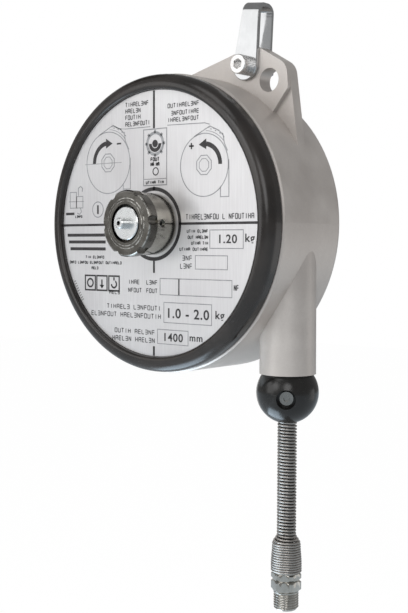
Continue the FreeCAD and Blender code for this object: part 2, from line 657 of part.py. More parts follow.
def make_spindle():
    """Hollow spindle: journals, shoulder, air way, seal grooves and the spring's slot."""
    body = new_body("spindle")
    seals = [f"air_port_y {sign} seal_offset" for sign in "-+"]
    points = [("0", "-spindle_front"), ("spindle_radius", "-spindle_front"),
              ("spindle_radius", "shoulder_front"), ("shoulder_radius", "shoulder_front"),
              ("shoulder_radius", "shoulder_back"), ("spindle_main", "shoulder_back")]
    for middle, half, floor in ((seals[0], "seal_radius * 1.2", "seal_groove"),
                                ("air_port_y", "air_groove_half",
                                 "spindle_main - air_groove_depth"),
                                (seals[1], "seal_radius * 1.2", "seal_groove")):
        points += [("spindle_main", f"{middle} - {half}"), (floor, f"{middle} - {half}"),
                   (floor, f"{middle} + {half}"), ("spindle_main", f"{middle} + {half}")]
    points += [("spindle_main", "spindle_tail_start"), ("spindle_tail", "spindle_tail_start"),
               ("spindle_tail", "spindle_tail_end"), ("0", "spindle_tail_end")]
    turn(body, "Y", points)
    bore = new_sketch(body, "XZ", "-spindle_front")
    draw_circle(bore, "0", "0", "air_bore")
    pocket(body, bore, "spindle_front + air_port_y + air_bore")
    seat = new_sketch(body, "XZ", "-spindle_front")
    draw_circle(seat, "0", "0", "nipple_tail + bush_play")
    pocket(body, seat, "nipple_tail_length + 0.3")
    cross = new_sketch(body, "XY")
    draw_circle(cross, "0", "air_port_y", "fitting_port")
    pocket(body, cross, "spindle_main * 3", both=True)
    slot = new_sketch(body, "XY")
    draw_polygon(slot, [("-spring_slot / 2", "spring_front - 0.5"),
                        ("spring_slot / 2", "spring_front - 0.5"),
                        ("spring_slot / 2", "spring_front + spring_width + 0.5"),
                        ("-spring_slot / 2", "spring_front + spring_width + 0.5")])
    pocket(body, slot, "spindle_main + 1")


def make_spindle_seals():
    body = new_body("spindle_seals", several=True)
    for sign in "-+":
        middle = f"air_port_y {sign} seal_offset"
        radius = "spindle_main + bush_play - seal_radius * 0.75"
        turn(body, "Y", [(f"{radius} + seal_radius * 0.7 * {x}", f"{middle} + seal_radius * {y}")
                         for x, y in ((-1, -0.5), (-1, 0.5), (-0.5, 1), (0.5, 1),
                                      (1, 0.5), (1, -0.5), (0.5, -1), (-0.5, -1))])


def make_friction_washer():
    body = new_body("friction_washer")
    turn(body, "Y", [("washer_bore", "hub_back"), ("hub_radius", "hub_back"),
                     ("hub_radius", "washer_back"), ("washer_bore", "washer_back")])


def make_disc_spring():
    body = new_body("disc_spring")
    turn(body, "Y", [("washer_bore", "shoulder_front - disc_spring_stock"),
                     ("hub_radius", "washer_back"),
                     ("hub_radius", "washer_back + disc_spring_stock"),
                     ("washer_bore", "shoulder_front")])


def make_knob_collar():
    body = new_body("knob_collar")
    bore = "spindle_radius + bush_play"
    turn(body, "Y", [(bore, "-collar_front"), ("collar_radius", "-collar_front"),
                     ("collar_radius", "-collar_gap"),
                     ("collar_radius - collar_wall", "-collar_gap"),
                     ("collar_radius - collar_wall", "collar_web - collar_front"),
                     (bore, "collar_web - collar_front")])
    soften(body, "Chamfer", ring_edges(body.Tip.Shape, "Y", "collar_radius", "-collar_gap"),
           "collar_gap")
    hole = new_sketch(body, "YZ")
    draw_circle(hole, "-grub_y", "0", "grub_radius + bush_play")
    pocket(body, hole, "collar_radius * 2", backwards=True)


def make_collar_screw():
    """Grub screw that pins the collar to the spindle, from the +X side."""
    body = new_body("collar_screw")
    shank = new_sketch(body, "YZ", "spindle_radius + bush_play")
    draw_circle(shank, "-grub_y", "0", "grub_radius")
    pad(body, shank, "collar_radius - grub_sink - spindle_radius - bush_play")
    socket = new_sketch(body, "YZ", "collar_radius - grub_sink - grub_radius")
    draw_circle(socket, "-grub_y", "0", "grub_radius * 0.55")
    pocket(body, socket, "grub_radius + 1", backwards=True)


def make_adjusting_knob():
    """Fluted nickel ring: six round flutes, a face with two fine steps and a recess."""
    body = new_body("adjusting_knob")
    bore = "spindle_radius + bush_play"
    middle = "knob_step_height - knob_front"
    low = "knob_step_height * 2 - knob_front"
    turn(body, "Y", [("knob_recess", "-knob_front"), ("knob_step_inner", "-knob_front"),
                     ("knob_step_inner", middle), ("knob_step", middle), ("knob_step", low),
                     ("knob_radius", low), ("knob_radius", "-collar_front"),
                     (bore, "-collar_front"), (bore, "knob_recess_depth - knob_front"),
                     ("knob_recess", "knob_recess_depth - knob_front")])
    for along in (low, "-collar_front"):
        soften(body, "Chamfer", ring_edges(body.Tip.Shape, "Y", "knob_radius", along),
               "knob_chamfer")
    flute = new_sketch(body, "XZ", "-knob_front - 1")
    draw_circle(flute, *polar("flute_circle", "flute_angle"), "flute_radius")
    one = pocket(body, flute, "knob_thickness + 2")
    repeat(body, [one], "Y", 6)


def make_inlet_nipple():
    body = new_body("inlet_nipple")
    stub_end = "-nipple_face - nipple_stub_length"
    turn(body, "Y", [("nipple_bore", stub_end), ("nipple_stub - nipple_lead", stub_end),
                     ("nipple_stub", f"{stub_end} + nipple_lead"), ("nipple_stub", "-nipple_face"),
                     ("nipple_flange - nipple_chamfer", "-nipple_face"),
                     ("nipple_flange", "nipple_chamfer - nipple_face"),
                     ("nipple_flange", "-spindle_front"), ("nipple_tail", "-spindle_front"),
                     ("nipple_tail", "nipple_tail_length - spindle_front"),
                     ("nipple_bore", "nipple_tail_length - spindle_front")])


# Drum, mainspring and the wound hose

def make_drum():
    """Hose drum: groove between two flanges, spring room behind the web, and a hub."""
    body = new_body("drum")
    front_bore = "hub_bush_outer"
    turn(body, "Y", [
        ("spindle_main + bush_play", "drum_hub_front"), ("drum_hub", "drum_hub_front"),
        ("drum_hub", "drum_web_front"), ("drum_inner", "drum_web_front"),
        ("drum_inner", "drum_front"), ("drum_flange", "drum_front"),
        ("drum_flange", "drum_front + drum_flange_thickness"),
        ("groove_radius", "drum_front + drum_flange_thickness"),
        ("groove_radius", "rear_flange"), ("drum_flange", "rear_flange"),
        ("drum_flange", "rear_flange + drum_flange_thickness"),
        ("groove_radius", "rear_flange + drum_flange_thickness"),
        ("groove_radius", "drum_rear"), ("drum_inner", "drum_rear"),
        ("drum_inner", "web_back"), (front_bore, "web_back"),
        (front_bore, "web_back - bush_length / 2"),
        ("spindle_main + bush_play", "web_back - bush_length / 2")])
    boss = new_sketch(body, "XZ", "web_back")
    draw_circle(boss, *polar("drum_boss_circle", "45"), "drum_boss_radius")
    one = pad(body, boss, "drum_rear - web_back", backwards=True)
    repeat(body, [one], "Y", 4)
    hole = new_sketch(body, "XZ", "drum_rear - drum_screw_length")
    draw_circle(hole, *polar("drum_boss_circle", "45"), "drum_screw_radius + bush_play")
    drilled = pocket(body, hole, "drum_screw_length + 1")
    repeat(body, [drilled], "Y", 4)
    pin_hole = new_sketch(body, "XZ", "drum_web_front - 1")
    draw_circle(pin_hole, "spring_pin_x", "0", "anchor_radius")
    pocket(body, pin_hole, "drum_web + 2")
    port = new_sketch(body, "YZ")
    draw_circle(port, "air_port_y", "0", "fitting_port")
    pocket(body, port, "drum_hub + 1")
    seat = new_sketch(body, "YZ", "-drum_hub")
    draw_circle(seat, "air_port_y", "0", "fitting_port + fitting_wall + fit_gap")
    pocket(body, seat, "fitting_thread_length + 0.2", backwards=True)
    way = new_sketch(body, "YZ", "-drum_inner + 1")
    draw_circle(way, "air_port_y", "0", "hose_radius + fit_gap")
    pocket(body, way, "drum_wall + 2")


def make_drum_cover():
    body = new_body("drum_cover")
    turn(body, "Y", [("rear_bush_outer", "drum_rear"), ("drum_cover_radius", "drum_rear"),
                     ("drum_cover_radius", "drum_cover_back"),
                     ("rear_bush_outer", "drum_cover_back")])
    hole = new_sketch(body, "XZ", "drum_rear - 1")
    draw_circle(hole, *polar("drum_boss_circle", "45"), "drum_screw_radius + fit_gap")
    one = pocket(body, hole, "drum_cover_thickness + 2")
    repeat(body, [one], "Y", 4)


def make_drum_cover_screws():
    ring_of_screws("drum_cover_screws", 4, "drum_boss_circle", "45",
                   [("drum_screw_radius", "drum_rear - drum_screw_length + tip_gap"),
                    ("drum_screw_head", "drum_cover_back"),
                    ("drum_screw_radius * 0.6", "drum_cover_back + drum_screw_head_height")])


def make_mainspring():
    """Spiral strip of half circles, its inner end bent into the spindle's slot."""
    stock, first = number("spring_stock"), number("spring_first")
    front = number("spring_front")
    step = number("spring_pitch") / 2
    inner, outer = [], []
    centre, radius, side = 0.0, first, -1
    for half in range(round(number("spring_halves"))):
        for edges, reach in ((inner, radius - stock / 2), (outer, radius + stock / 2)):
            edges.append(Part.Arc(Vector(centre + side * reach, front, 0),
                                  Vector(centre, front, side * reach),
                                  Vector(centre - side * reach, front, 0)).toShape())
        centre += side * step
        radius += step
        side = -side
    ends = [Part.makeLine(Vector(middle - stock / 2, front, 0), Vector(middle + stock / 2, front, 0))
            for middle in (-first, number("spring_end"))]
    strip = Part.Face(Part.Wire(Part.__sortEdges__(inner + outer + ends)))
    width = number("spring_width")
    inside = number("spindle_main") / 2
    tab = Part.makeBox(stock, width, first - inside, Vector(-stock / 2, front, -first))
    spring = doc.addObject("Part::Feature", "mainspring")
    spring.Label = "mainspring"
    spring.Shape = strip.extrude(Vector(0, width, 0)).fuse(tab).removeSplitter()
    place(spring, "case")
    nodes.append(spring)


def make_spring_anchor_pin():
    """Pin in the drum's web that the strip's outer end is riveted to."""
    body = new_body("spring_anchor_pin")
    outline = new_sketch(body, "XZ", "drum_web_front")
    draw_circle(outline, "spring_pin_x", "0", "anchor_radius")
    pad(body, outline, "drum_rear - 0.5 - drum_web_front", backwards=True)


def make_hose_winding():
    """The hose's stored turns, one lane each, and its feed from the hub."""
    body = new_body("hose_winding", several=True)
    half = "hose_radius * 0.5"
    inside = "outlet_x - hose_radius"
    outside = "outlet_x + hose_radius"
    for lane in (1, 2, 3):
        middle = f"outlet_y - lane_pitch * {lane}"
        turn(body, "Y", [(inside, f"{middle} - {half}"), (inside, f"{middle} + {half}"),
                         (f"outlet_x - {half}", f"{middle} + hose_radius"),
                         (f"outlet_x + {half}", f"{middle} + hose_radius"),
                         (outside, f"{middle} + {half}"), (outside, f"{middle} - {half}"),
                         (f"outlet_x + {half}", f"{middle} - hose_radius"),
                         (f"outlet_x - {half}", f"{middle} - hose_radius")])


def make_feed_hose():
    """Short length of hose from the hub fitting out through the drum's rim."""
    body = new_body("feed_hose")
    start = "drum_hub + fitting_hex_length"
    outline = new_sketch(body, "YZ", f"-({start})")
    draw_circle(outline, "air_port_y", "0", "hose_radius")
    pad(body, outline, f"outlet_x - hose_radius - 0.5 - ({start})", backwards=True)
    bore = new_sketch(body, "YZ", f"-({start})")
    draw_circle(bore, "air_port_y", "0", "hose_bore")
    pocket(body, bore, "outlet_x")


def make_hub_fitting():
    """Fitting screwed into the drum's hub that feeds the hose."""
    body = new_body("hub_fitting")
    hexagon = new_sketch(body, "YZ", "-drum_hub")
    corners = [(f"air_port_y + fitting_flats / sqrt(3) * cos({angle})",
                f"fitting_flats / sqrt(3) * sin({angle})") for angle in range(0, 360, 60)]
    draw_polygon(hexagon, corners)
    pad(body, hexagon, "fitting_hex_length", backwards=True)
    barb = new_sketch(body, "YZ", "-drum_hub - fitting_hex_length")
    draw_circle(barb, "air_port_y", "0", "hose_bore - bush_play")
    pad(body, barb, "fitting_barb_length", backwards=True)
    thread = new_sketch(body, "YZ", "-drum_hub + fitting_thread_length")
    draw_circle(thread, "air_port_y", "0", "fitting_port + fitting_wall")
    pad(body, thread, "fitting_thread_length + 0.5", backwards=True)
    bore = new_sketch(body, "YZ")
    draw_circle(bore, "air_port_y", "0", "fitting_port")
    pocket(body, bore, "drum_hub + fitting_hex_length + fitting_barb_length + 1")


# Hose line: outlet bush, running hose, ball stop, guard and fittings

def make_outlet_bush():
    """Guide bush in the neck's mouth, flared on top for the hose."""
    body = new_body("outlet_bush", "hose")
    bore = "hose_radius + outlet_play"
    top = "outlet_bush_length"
    turn(body, "Z", [(bore, "0"), ("outlet_bore - bush_play", "0"),
                     ("outlet_bore - bush_play", top), (f"{bore} + outlet_bush_flare", top),
                     (bore, f"{top} - outlet_bush_flare")])


def make_hose_run():
    """Hose from the drum's last lane, over its top and straight down to the ball."""
    arc = doc.addObject("Part::Torus", "hose_arc")
    arc.setExpression("Radius1", bound("outlet_x"))
    arc.setExpression("Radius2", bound("hose_radius"))
    arc.Angle3 = 180
    arc.Placement = Placement(Vector(), Rotation(Vector(1, 0, 0), 90))
    arc.setExpression("Placement.Base.y", bound("outlet_y"))
    drop = doc.addObject("Part::Cylinder", "hose_drop")
    drop.setExpression("Radius", bound("hose_radius"))
    drop.setExpression("Height", bound("outlet_mouth + stop_gap / 2"))
    drop.setExpression("Placement.Base.x", bound("outlet_x"))
    drop.setExpression("Placement.Base.y", bound("outlet_y"))
    drop.setExpression("Placement.Base.z", bound("-outlet_mouth - stop_gap / 2"))
    run = doc.addObject("Part::Fuse", "hose_run")
    run.Base, run.Tool = arc, drop
    run.Label = "hose_run"
    place(run, "case")
    nodes.append(run)


def make_ball_stop():
    """Rubber ball with a flat top, the hose's hole and the stop screw's hole."""
    body = new_body("ball_stop", "hose")
    sketch = new_sketch(body, "XZ")
    draw_half_ball(sketch)
    ball = body.newObject("PartDesign::Revolution", "ball_turn")
    ball.Profile = sketch
    ball.ReferenceAxis = (sketch, ["V_Axis"])
    ball.Angle = 360
    finish(body, ball)
    bore = "hose_radius + bush_play"
    turn(body, "Z", [("0", "ball_radius - ball_drop"), (bore, "ball_radius - ball_drop"),
                     (bore, "sleeve_half - sleeve_z"),
                     ("guard_radius + fit_gap", "sleeve_half - sleeve_z"),
                     ("guard_radius + fit_gap", "-ball_drop - ball_radius - 1"),
                     ("0", "-ball_drop - ball_radius - 1")], cut=True)
    for radius, depth in (("stop_hole", "ball_radius - stop_hole_depth"),
                          ("stop_screw_radius + fit_gap", "sleeve_radius")):
        hole = new_sketch(body, "XZ", "0")
        hole.setExpression("AttachmentOffset.Base.z", f"{bound(depth)}")
        draw_circle(hole, "0", "-sleeve_z", radius)
        pocket(body, hole, "ball_radius", backwards=True)
    body.Placement = Placement(body.Placement.Base,
                               Rotation(Vector(0, 0, 1), number("stop_hole_angle")))
    body.setExpression("Placement.Rotation.Angle", bound("stop_hole_angle"))


def draw_half_ball(sketch):
    """Half the ball's section, cut flat under the neck's mouth."""
    centre, radius = -number("ball_drop"), number("ball_radius")
    flat = -number("stop_gap")
    rim = math.asin((flat - centre) / radius)
    corner = Vector(radius * math.cos(rim), flat, 0)
    circle = Part.Circle(Vector(0, centre, 0), Vector(0, 0, 1), radius)
    arc = sketch.addGeometry(Part.ArcOfCircle(circle, -math.pi / 2, rim))
    top = sketch.addGeometry(Part.LineSegment(corner, Vector(0, flat, 0)))
    side = sketch.addGeometry(Part.LineSegment(Vector(0, flat, 0),
                                               Vector(0, centre - radius, 0)))
    pin(sketch, arc, 3, "0", "-ball_drop")
    dimension(sketch, "Radius", (arc,), "ball_radius")
    for here, there in ((arc, top), (top, side)):
        sketch.addConstraint(Sketcher.Constraint("Coincident", here, 2, there, 1))
    sketch.addConstraint(Sketcher.Constraint("Coincident", side, 2, arc, 1))
    sketch.addConstraint(Sketcher.Constraint("Vertical", side))
    sketch.addConstraint(Sketcher.Constraint("Horizontal", top))
    pin(sketch, top, 2, "0", "-stop_gap")


def make_stop_sleeve():
    """Metal sleeve on the hose inside the ball, pressed by the stop screw."""
    body = new_body("stop_sleeve", "hose")
    bore = "hose_radius + bush_play"
    turn(body, "Z", [(bore, "-sleeve_z - sleeve_half"), ("sleeve_radius", "-sleeve_z - sleeve_half"),
                     ("sleeve_radius", "sleeve_half - sleeve_z"), (bore, "sleeve_half - sleeve_z")])


def make_stop_screw():
    """Cap screw in the ball's hole, pressing on the sleeve."""
    body = new_body("stop_screw", "hose")
    seat = "ball_radius - stop_hole_depth"
    for radius, start, length in (("stop_screw_radius", "sleeve_radius", f"{seat} - sleeve_radius"),
                                  ("stop_screw_head", seat, "stop_screw_head_height")):
        sketch = new_sketch(body, "XZ")
        sketch.setExpression("AttachmentOffset.Base.z", bound(start))
        draw_circle(sketch, "0", "-sleeve_z", radius)
        pad(body, sketch, length)
    socket = new_sketch(body, "XZ")
    socket.setExpression("AttachmentOffset.Base.z", bound(f"{seat} + stop_screw_head_height / 2"))
    corners = [(f"stop_screw_head * 0.5 * cos({angle})",
                f"-sleeve_z + stop_screw_head * 0.5 * sin({angle})") for angle in range(0, 360, 60)]
    draw_polygon(socket, corners)
    pocket(body, socket, "stop_screw_head_height", backwards=True)
    body.Placement = Placement(body.Placement.Base,
                               Rotation(Vector(0, 0, 1), number("stop_hole_angle")))
    body.setExpression("Placement.Rotation.Angle", bound("stop_hole_angle"))


def make_end_hose():
    """Hose from the ball's top down to the end fitting."""
    body = new_body("end_hose", "hose")
    turn(body, "Z", [("hose_bore", "-stop_gap"),
                     ("hose_radius", "-stop_gap"),
                     ("hose_radius", "-union_hex_end + 1"), ("hose_bore", "-union_hex_end + 1")])


def make_spring_guard():
    """Envelope of the coiled wire guard, with its flare over the union nut."""
    body = new_body("spring_guard", "hose")
    outer = [("guard_radius", "-guard_top"), ("guard_radius", "-guard_flare_start"),
             ("guard_flare_radius", "-guard_flare_end"), ("guard_end_radius", "-guard_wide"),
             ("guard_end_radius", "-guard_end")]
    inner = [(f"{radius} - guard_wire", along) for radius, along in reversed(outer)]
    turn(body, "Z", outer + inner)


def make_union_nut():
    body = new_body("union_nut", "hose")
    bore = "hose_radius + bush_play"
    neck = new_sketch(body, "XY", "-union_hex_end")
    draw_circle(neck, "0", "0", "union_neck")
    draw_circle(neck, "0", "0", bore)
    pad(body, neck, "union_hex_end - union_neck_top")
    hexagon = new_sketch(body, "XY", "-union_hex_end")
    draw_hexagon(hexagon, "wrench_flats", "wrench_turn")
    draw_circle(hexagon, "0", "0", bore)
    pad(body, hexagon, "union_hex_end - union_hex_top")


def make_end_fitting():
    """Male threaded fitting: barb in the hose, neck, hexagon and pipe thread."""
    body = new_body("end_fitting", "hose")
    turn(body, "Z", [("0", "-barb_top"), ("hose_bore - barb_lead", "-barb_top"),
                     ("hose_bore - bush_play", "-barb_top - 1"),
                     ("hose_bore - bush_play", "-union_hex_end"), ("fitting_neck", "-union_hex_end"),
                     ("fitting_neck", "-fitting_hex_end + 1"),
                     ("thread_radius", "-fitting_hex_end + 1"),
                     ("thread_radius", "thread_chamfer - thread_end"),
                     ("thread_radius - thread_chamfer", "-thread_end"), ("0", "-thread_end")])
    hexagon = new_sketch(body, "XY", "-fitting_hex_end")
    draw_hexagon(hexagon, "wrench_flats", "wrench_turn")
    pad(body, hexagon, "fitting_hex_end - union_hex_end - fitting_gap_length")
    bore = new_sketch(body, "XY", "-thread_end")
    draw_circle(bore, "0", "0", "end_bore")
    pocket(body, bore, "thread_end - fitting_hex_end", backwards=True)
    narrow = new_sketch(body, "XY", "-thread_end")
    draw_circle(narrow, "0", "0", "barb_bore")
    pocket(body, narrow, "thread_end - barb_top + 1", backwards=True)


# Shackle

def lean(body):
    body.Placement = Placement(body.Placement.Base,
                               Rotation(Vector(0, 1, 0), number("shackle_lean")))
    body.setExpression("Placement.Rotation.Angle", bound("shackle_lean"))


def make_shackle():
    """Flat strap bent into a U over the lug, tapering from its eyes to the crown."""
    body = new_body("shackle", "shackle")
    top = "shackle_reach + shackle_strap"
    leg = new_sketch(body, "XZ", "-leg_back")
    draw_belt(leg, [("0", "0", "shackle_eye_radius"), ("shackle_crown_half", top, "0"),
                    ("-shackle_crown_half", top, "0")])
    pad(body, leg, "leg_back * 2", backwards=True)
    height = number(top)
    bends = edge_names(body.Tip.Shape, lambda edge: lies_along(edge, "X"))
    soften(body, "Fillet", bends, "shackle_outer_round")
    outline = edge_names(body.Tip.Shape, lambda edge: not lies_along(edge, "X")
                         and (not lies_along(edge, "Y") or edge.BoundBox.ZMin > height - 0.01))
    soften(body, "Chamfer", outline, "shackle_edge")
    inside = new_sketch(body, "YZ")
    corner = "leg_face - shackle_inner_round"
    high = "shackle_reach - shackle_inner_round"
    draw_belt(inside, [("leg_face", "-shackle_eye_radius * 2", "0"),
                       (corner, high, "shackle_inner_round"),
                       (f"-({corner})", high, "shackle_inner_round"),
                       ("-leg_face", "-shackle_eye_radius * 2", "0")])
    pocket(body, inside, "shackle_eye_radius * 3", both=True)
    eye = new_sketch(body, "XZ", "-leg_back - 1")
    draw_circle(eye, "0", "0", "pivot_radius + bush_play")
    pocket(body, eye, "leg_back * 2 + 2")
    lean(body)


def lies_along(edge, axis):
    """Whether a straight edge runs along X or Y, in the body's own frame."""
    box = edge.BoundBox
    across = (box.YLength, box.ZLength) if axis == "X" else (box.XLength, box.ZLength)
    return max(across) < 0.01


def make_shackle_screw():
    """Socket head screw through both legs and the lug."""
    body = new_body("shackle_screw", "shackle")
    head = "-leg_back - screw_head_height"
    tip = "leg_back + nut_height + screw_tip"
    turn(body, "Y", [("0", head), ("screw_head_radius - screw_edge", head),
                     ("screw_head_radius", f"{head} + screw_edge"), ("screw_head_radius", "-leg_back"),
                     ("pivot_radius", "-leg_back"), ("pivot_radius", f"{tip} - screw_edge"),
                     ("pivot_radius - screw_edge", tip), ("0", tip)])
    socket = new_sketch(body, "XZ", head)
    corners = [(f"screw_socket_radius * cos({angle})", f"screw_socket_radius * sin({angle})")
               for angle in range(30, 390, 60)]
    draw_polygon(socket, corners)
    pocket(body, socket, "screw_socket_depth")
    lean(body)


def make_shackle_nut():
    body = new_body("shackle_nut", "shackle")
    nut = new_sketch(body, "XZ", "leg_back")
    draw_hexagon(nut, "nut_flats")
    draw_circle(nut, "0", "0", "pivot_radius + bush_play")
    pad(body, nut, "nut_height", backwards=True)
    lean(body)


# Checks and export

def check_document():
    for item in doc.Objects:
        if any(state in ("Invalid", "Error") for state in item.State):
            raise RuntimeError(f"{item.Name} did not build: {item.State}")
    for node in nodes:
        if node.Shape.isNull() or not node.Shape.isValid() or not node.Shape.Solids:
            raise RuntimeError(f"{node.Label} has no valid solid")


def export_parts():
    os.makedirs("parts", exist_ok=True)
    for node in nodes:
        node.Shape.exportStep(f"parts/{node.Label}.step")


make_housing()
make_front_cover()
make_label_plate()
make_case_screws()
make_bush("front_bush", "front_bush_outer", "spindle_radius + bush_play",
          "label_thickness", "hub_back")
make_bush("rear_bush", "rear_bush_outer", "spindle_tail + bush_play",
          "boss_front", "spindle_tail_end + 0.3")
make_friction_washer()
make_disc_spring()
make_spindle()
make_spindle_seals()
make_knob_collar()
make_collar_screw()
make_adjusting_knob()
make_inlet_nipple()
make_drum()
make_bush("drum_front_bush", "hub_bush_outer", "spindle_main + bush_play",
          "web_back - bush_length / 2", "web_back")
make_drum_cover()
make_bush("drum_rear_bush", "rear_bush_outer", "spindle_tail + bush_play",
          "drum_rear", "drum_cover_back + 0.4")
make_drum_cover_screws()
make_mainspring()
make_spring_anchor_pin()
make_hose_winding()
make_feed_hose()
make_hub_fitting()
make_outlet_bush()
make_hose_run()
make_ball_stop()
make_stop_sleeve()
make_stop_screw()
make_end_hose()
make_spring_guard()
make_union_nut()
make_end_fitting()
make_shackle()
make_shackle_screw()
make_shackle_nut()
doc.recompute()
check_document()
export_parts()
for node in nodes:
    print(f"{node.Label}: {len(node.Shape.Solids)} solid(s), {node.Shape.Volume:.0f} mm3")
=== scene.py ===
"""Looks of the spring balancer: materials, label print, coiled guard, threads and hose.

Sizes of the part are in millimetres, which mm() and MM turn into metres. The relief of a
finish, the camera, the lamps and the cards are in metres.
"""
from functools import partial
import json
import math

import bmesh
import bpy
from mathutils import Matrix, Vector


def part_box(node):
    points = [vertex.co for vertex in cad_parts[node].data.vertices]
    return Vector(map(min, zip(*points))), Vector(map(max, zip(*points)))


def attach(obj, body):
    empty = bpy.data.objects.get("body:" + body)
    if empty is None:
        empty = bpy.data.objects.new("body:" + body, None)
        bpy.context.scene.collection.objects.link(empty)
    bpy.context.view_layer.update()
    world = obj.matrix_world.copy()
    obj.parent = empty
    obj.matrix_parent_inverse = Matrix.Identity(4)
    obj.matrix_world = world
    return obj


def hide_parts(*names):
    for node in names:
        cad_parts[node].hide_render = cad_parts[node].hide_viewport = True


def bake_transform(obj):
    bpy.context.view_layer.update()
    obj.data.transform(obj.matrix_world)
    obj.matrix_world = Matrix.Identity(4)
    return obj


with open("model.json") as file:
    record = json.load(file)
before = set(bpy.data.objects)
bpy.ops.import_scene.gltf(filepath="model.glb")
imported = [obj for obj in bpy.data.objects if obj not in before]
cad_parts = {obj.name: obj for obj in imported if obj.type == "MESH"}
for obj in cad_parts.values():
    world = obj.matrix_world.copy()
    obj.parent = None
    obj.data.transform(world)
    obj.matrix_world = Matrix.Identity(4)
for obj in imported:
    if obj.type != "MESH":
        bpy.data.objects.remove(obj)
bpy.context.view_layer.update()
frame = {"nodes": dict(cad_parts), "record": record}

MM = 0.001
WINDING_RADIUS = 63.5  # the hose on the drum, from the case axis
LAST_LANE = 33.0  # the drum lane that the hose leaves from, behind the label's face
HOSE_RADIUS = 3.6


def mm(*numbers):
    return Vector(numbers) * MM


# The case axis meets the label's face here, and the hose hangs on this line.
LABEL_LOW, LABEL_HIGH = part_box("label_plate")
CASE = Vector(((LABEL_LOW.x + LABEL_HIGH.x) / 2, LABEL_LOW.y, (LABEL_LOW.z + LABEL_HIGH.z) / 2))
HOSE_LINE = CASE + mm(WINDING_RADIUS, LAST_LANE, 0)


# Node trees: arithmetic on a Value adds Math nodes

class Value:
    """One output socket in a node tree."""

    def __init__(self, tree, socket):
        self.tree = tree
        self.socket = socket

    def node(self, kind, settings=None, inputs=None, output=0):
        return new_node(self.tree, kind, settings, inputs, output)

    def math(self, operation, *others):
        return self.node("Math", {"operation": operation}, dict(enumerate((self, *others))))

    def __add__(self, other):
        return self.math("ADD", other)

    def __sub__(self, other):
        return self.math("SUBTRACT", other)

    def __rsub__(self, other):
        return self * -1 + other

    def __mul__(self, other):
        return self.math("MULTIPLY", other)

    def sin(self):
        return self.math("SINE")

    def absolute(self):
        return self.math("ABSOLUTE")

    def between(self, low, high, to_low=0.0, to_high=1.0):
        """Goes smoothly from to_low to to_high as the value goes from low to high."""
        return self.node("MapRange", {"interpolation_type": "SMOOTHSTEP"},
                         {0: self, 1: low, 2: high, 3: to_low, 4: to_high})

    def noise(self, scale, detail=3.0, roughness=0.5):
        """Noise about 0.5 over this position; scale is in cycles per metre."""
        return self.node("TexNoise", None, {"Vector": self, "Scale": scale, "Detail": detail,
                                            "Roughness": roughness})

    def choose(self, low, high):
        """The colour low where this value is 0 and high where it is 1."""
        return self.node("Mix", {"data_type": "RGBA"}, {0: self, 6: low, 7: high}, 2)

    def parts(self):
        """The x, y and z of this position."""
        made = self.tree.nodes.new("ShaderNodeSeparateXYZ")
        feed(self.tree, made.inputs[0], self)
        return [Value(self.tree, socket) for socket in made.outputs]

    def stretched(self, x, y, z):
        return self.node("VectorMath", {"operation": "MULTIPLY"}, {0: self, 1: (x, y, z)})

    def bump(self, distance, strength):
        """A normal from this height, given in units of distance."""
        return self.node("Bump", None, {"Strength": strength, "Distance": distance,
                                        "Height": self})

    def shown_as(self, kind):
        """Make this shader the surface of the material or the world."""
        output = self.tree.nodes.new("ShaderNodeOutput" + kind)
        feed(self.tree, output.inputs["Surface"], self)


def new_node(tree, kind, settings=None, inputs=None, output=0):
    """A new shader node, its settings made before its sockets; gives one output."""
    made = tree.nodes.new("ShaderNode" + kind)
    for name, setting in (settings or {}).items():
        setattr(made, name, setting)
    for name, value in (inputs or {}).items():
        feed(tree, made.inputs[name], value)
    return Value(tree, made.outputs[output])


def feed(tree, socket, value):
    if isinstance(value, Value):
        tree.links.new(value.socket, socket)
    else:
        socket.default_value = value


def distance(a, b):
    return (a * a + b * b).math("SQRT")


def rgba(red, green, blue):
    return (red, green, blue, 1)


# Materials

class Finish:
    """A material with one Principled shader and the object's own position."""

    def __init__(self, name, colour, roughness, metallic=0.0):
        self.material = bpy.data.materials.new(name)
        self.material.use_nodes = True
        self.tree = self.material.node_tree
        self.shader = self.tree.nodes["Principled BSDF"]
        self.place = new_node(self.tree, "TexCoord", output="Object")
        self.set("Base Color", rgba(*colour))
        self.set("Roughness", roughness)
        self.set("Metallic", metallic)

    def set(self, socket, value):
        feed(self.tree, self.shader.inputs[socket], value)

    def tint(self, amount, dark, light, low=0.3, high=0.7):
        """Base colour from dark to light as the amount goes from low to high."""
        self.set("Base Color", amount.between(low, high).choose(rgba(*dark), rgba(*light)))

    def polish(self, amount, smooth, rough, low=0.3, high=0.7):
        """Roughness from smooth to rough as the amount goes from low to high."""
        self.set("Roughness", amount.between(low, high, smooth, rough))

    def relief(self, height, distance, strength):
        """Bumps of this height, in units of distance."""
        self.set("Normal", height.bump(distance, strength))

    def from_case(self):
        """Distance from the case axis, and how far behind the label's face, in metres."""
        x, y, z = self.place.parts()
        return distance(x - CASE.x, z - CASE.z), y - CASE.y


def casting_finish():
    """Tumbled die casting, bare and a little stained."""
    f = Finish("cast_case", (0.5, 0.46, 0.43), 0.4, 0.5)
    broad = f.place.noise(18, 3)
    grain = f.place.noise(900, 4, 0.6)
    stain = f.place.noise(70, 4, 0.6)
    f.tint(broad * 0.5 + stain * 0.35 + grain * 0.15, (0.47, 0.435, 0.41), (0.60, 0.565, 0.535))
    f.polish(stain, 0.36, 0.5, 0.3, 0.75)
    f.relief(grain * 0.7 + f.place.noise(260, 3) * 0.6, 0.00012, 0.5)
    return f.material


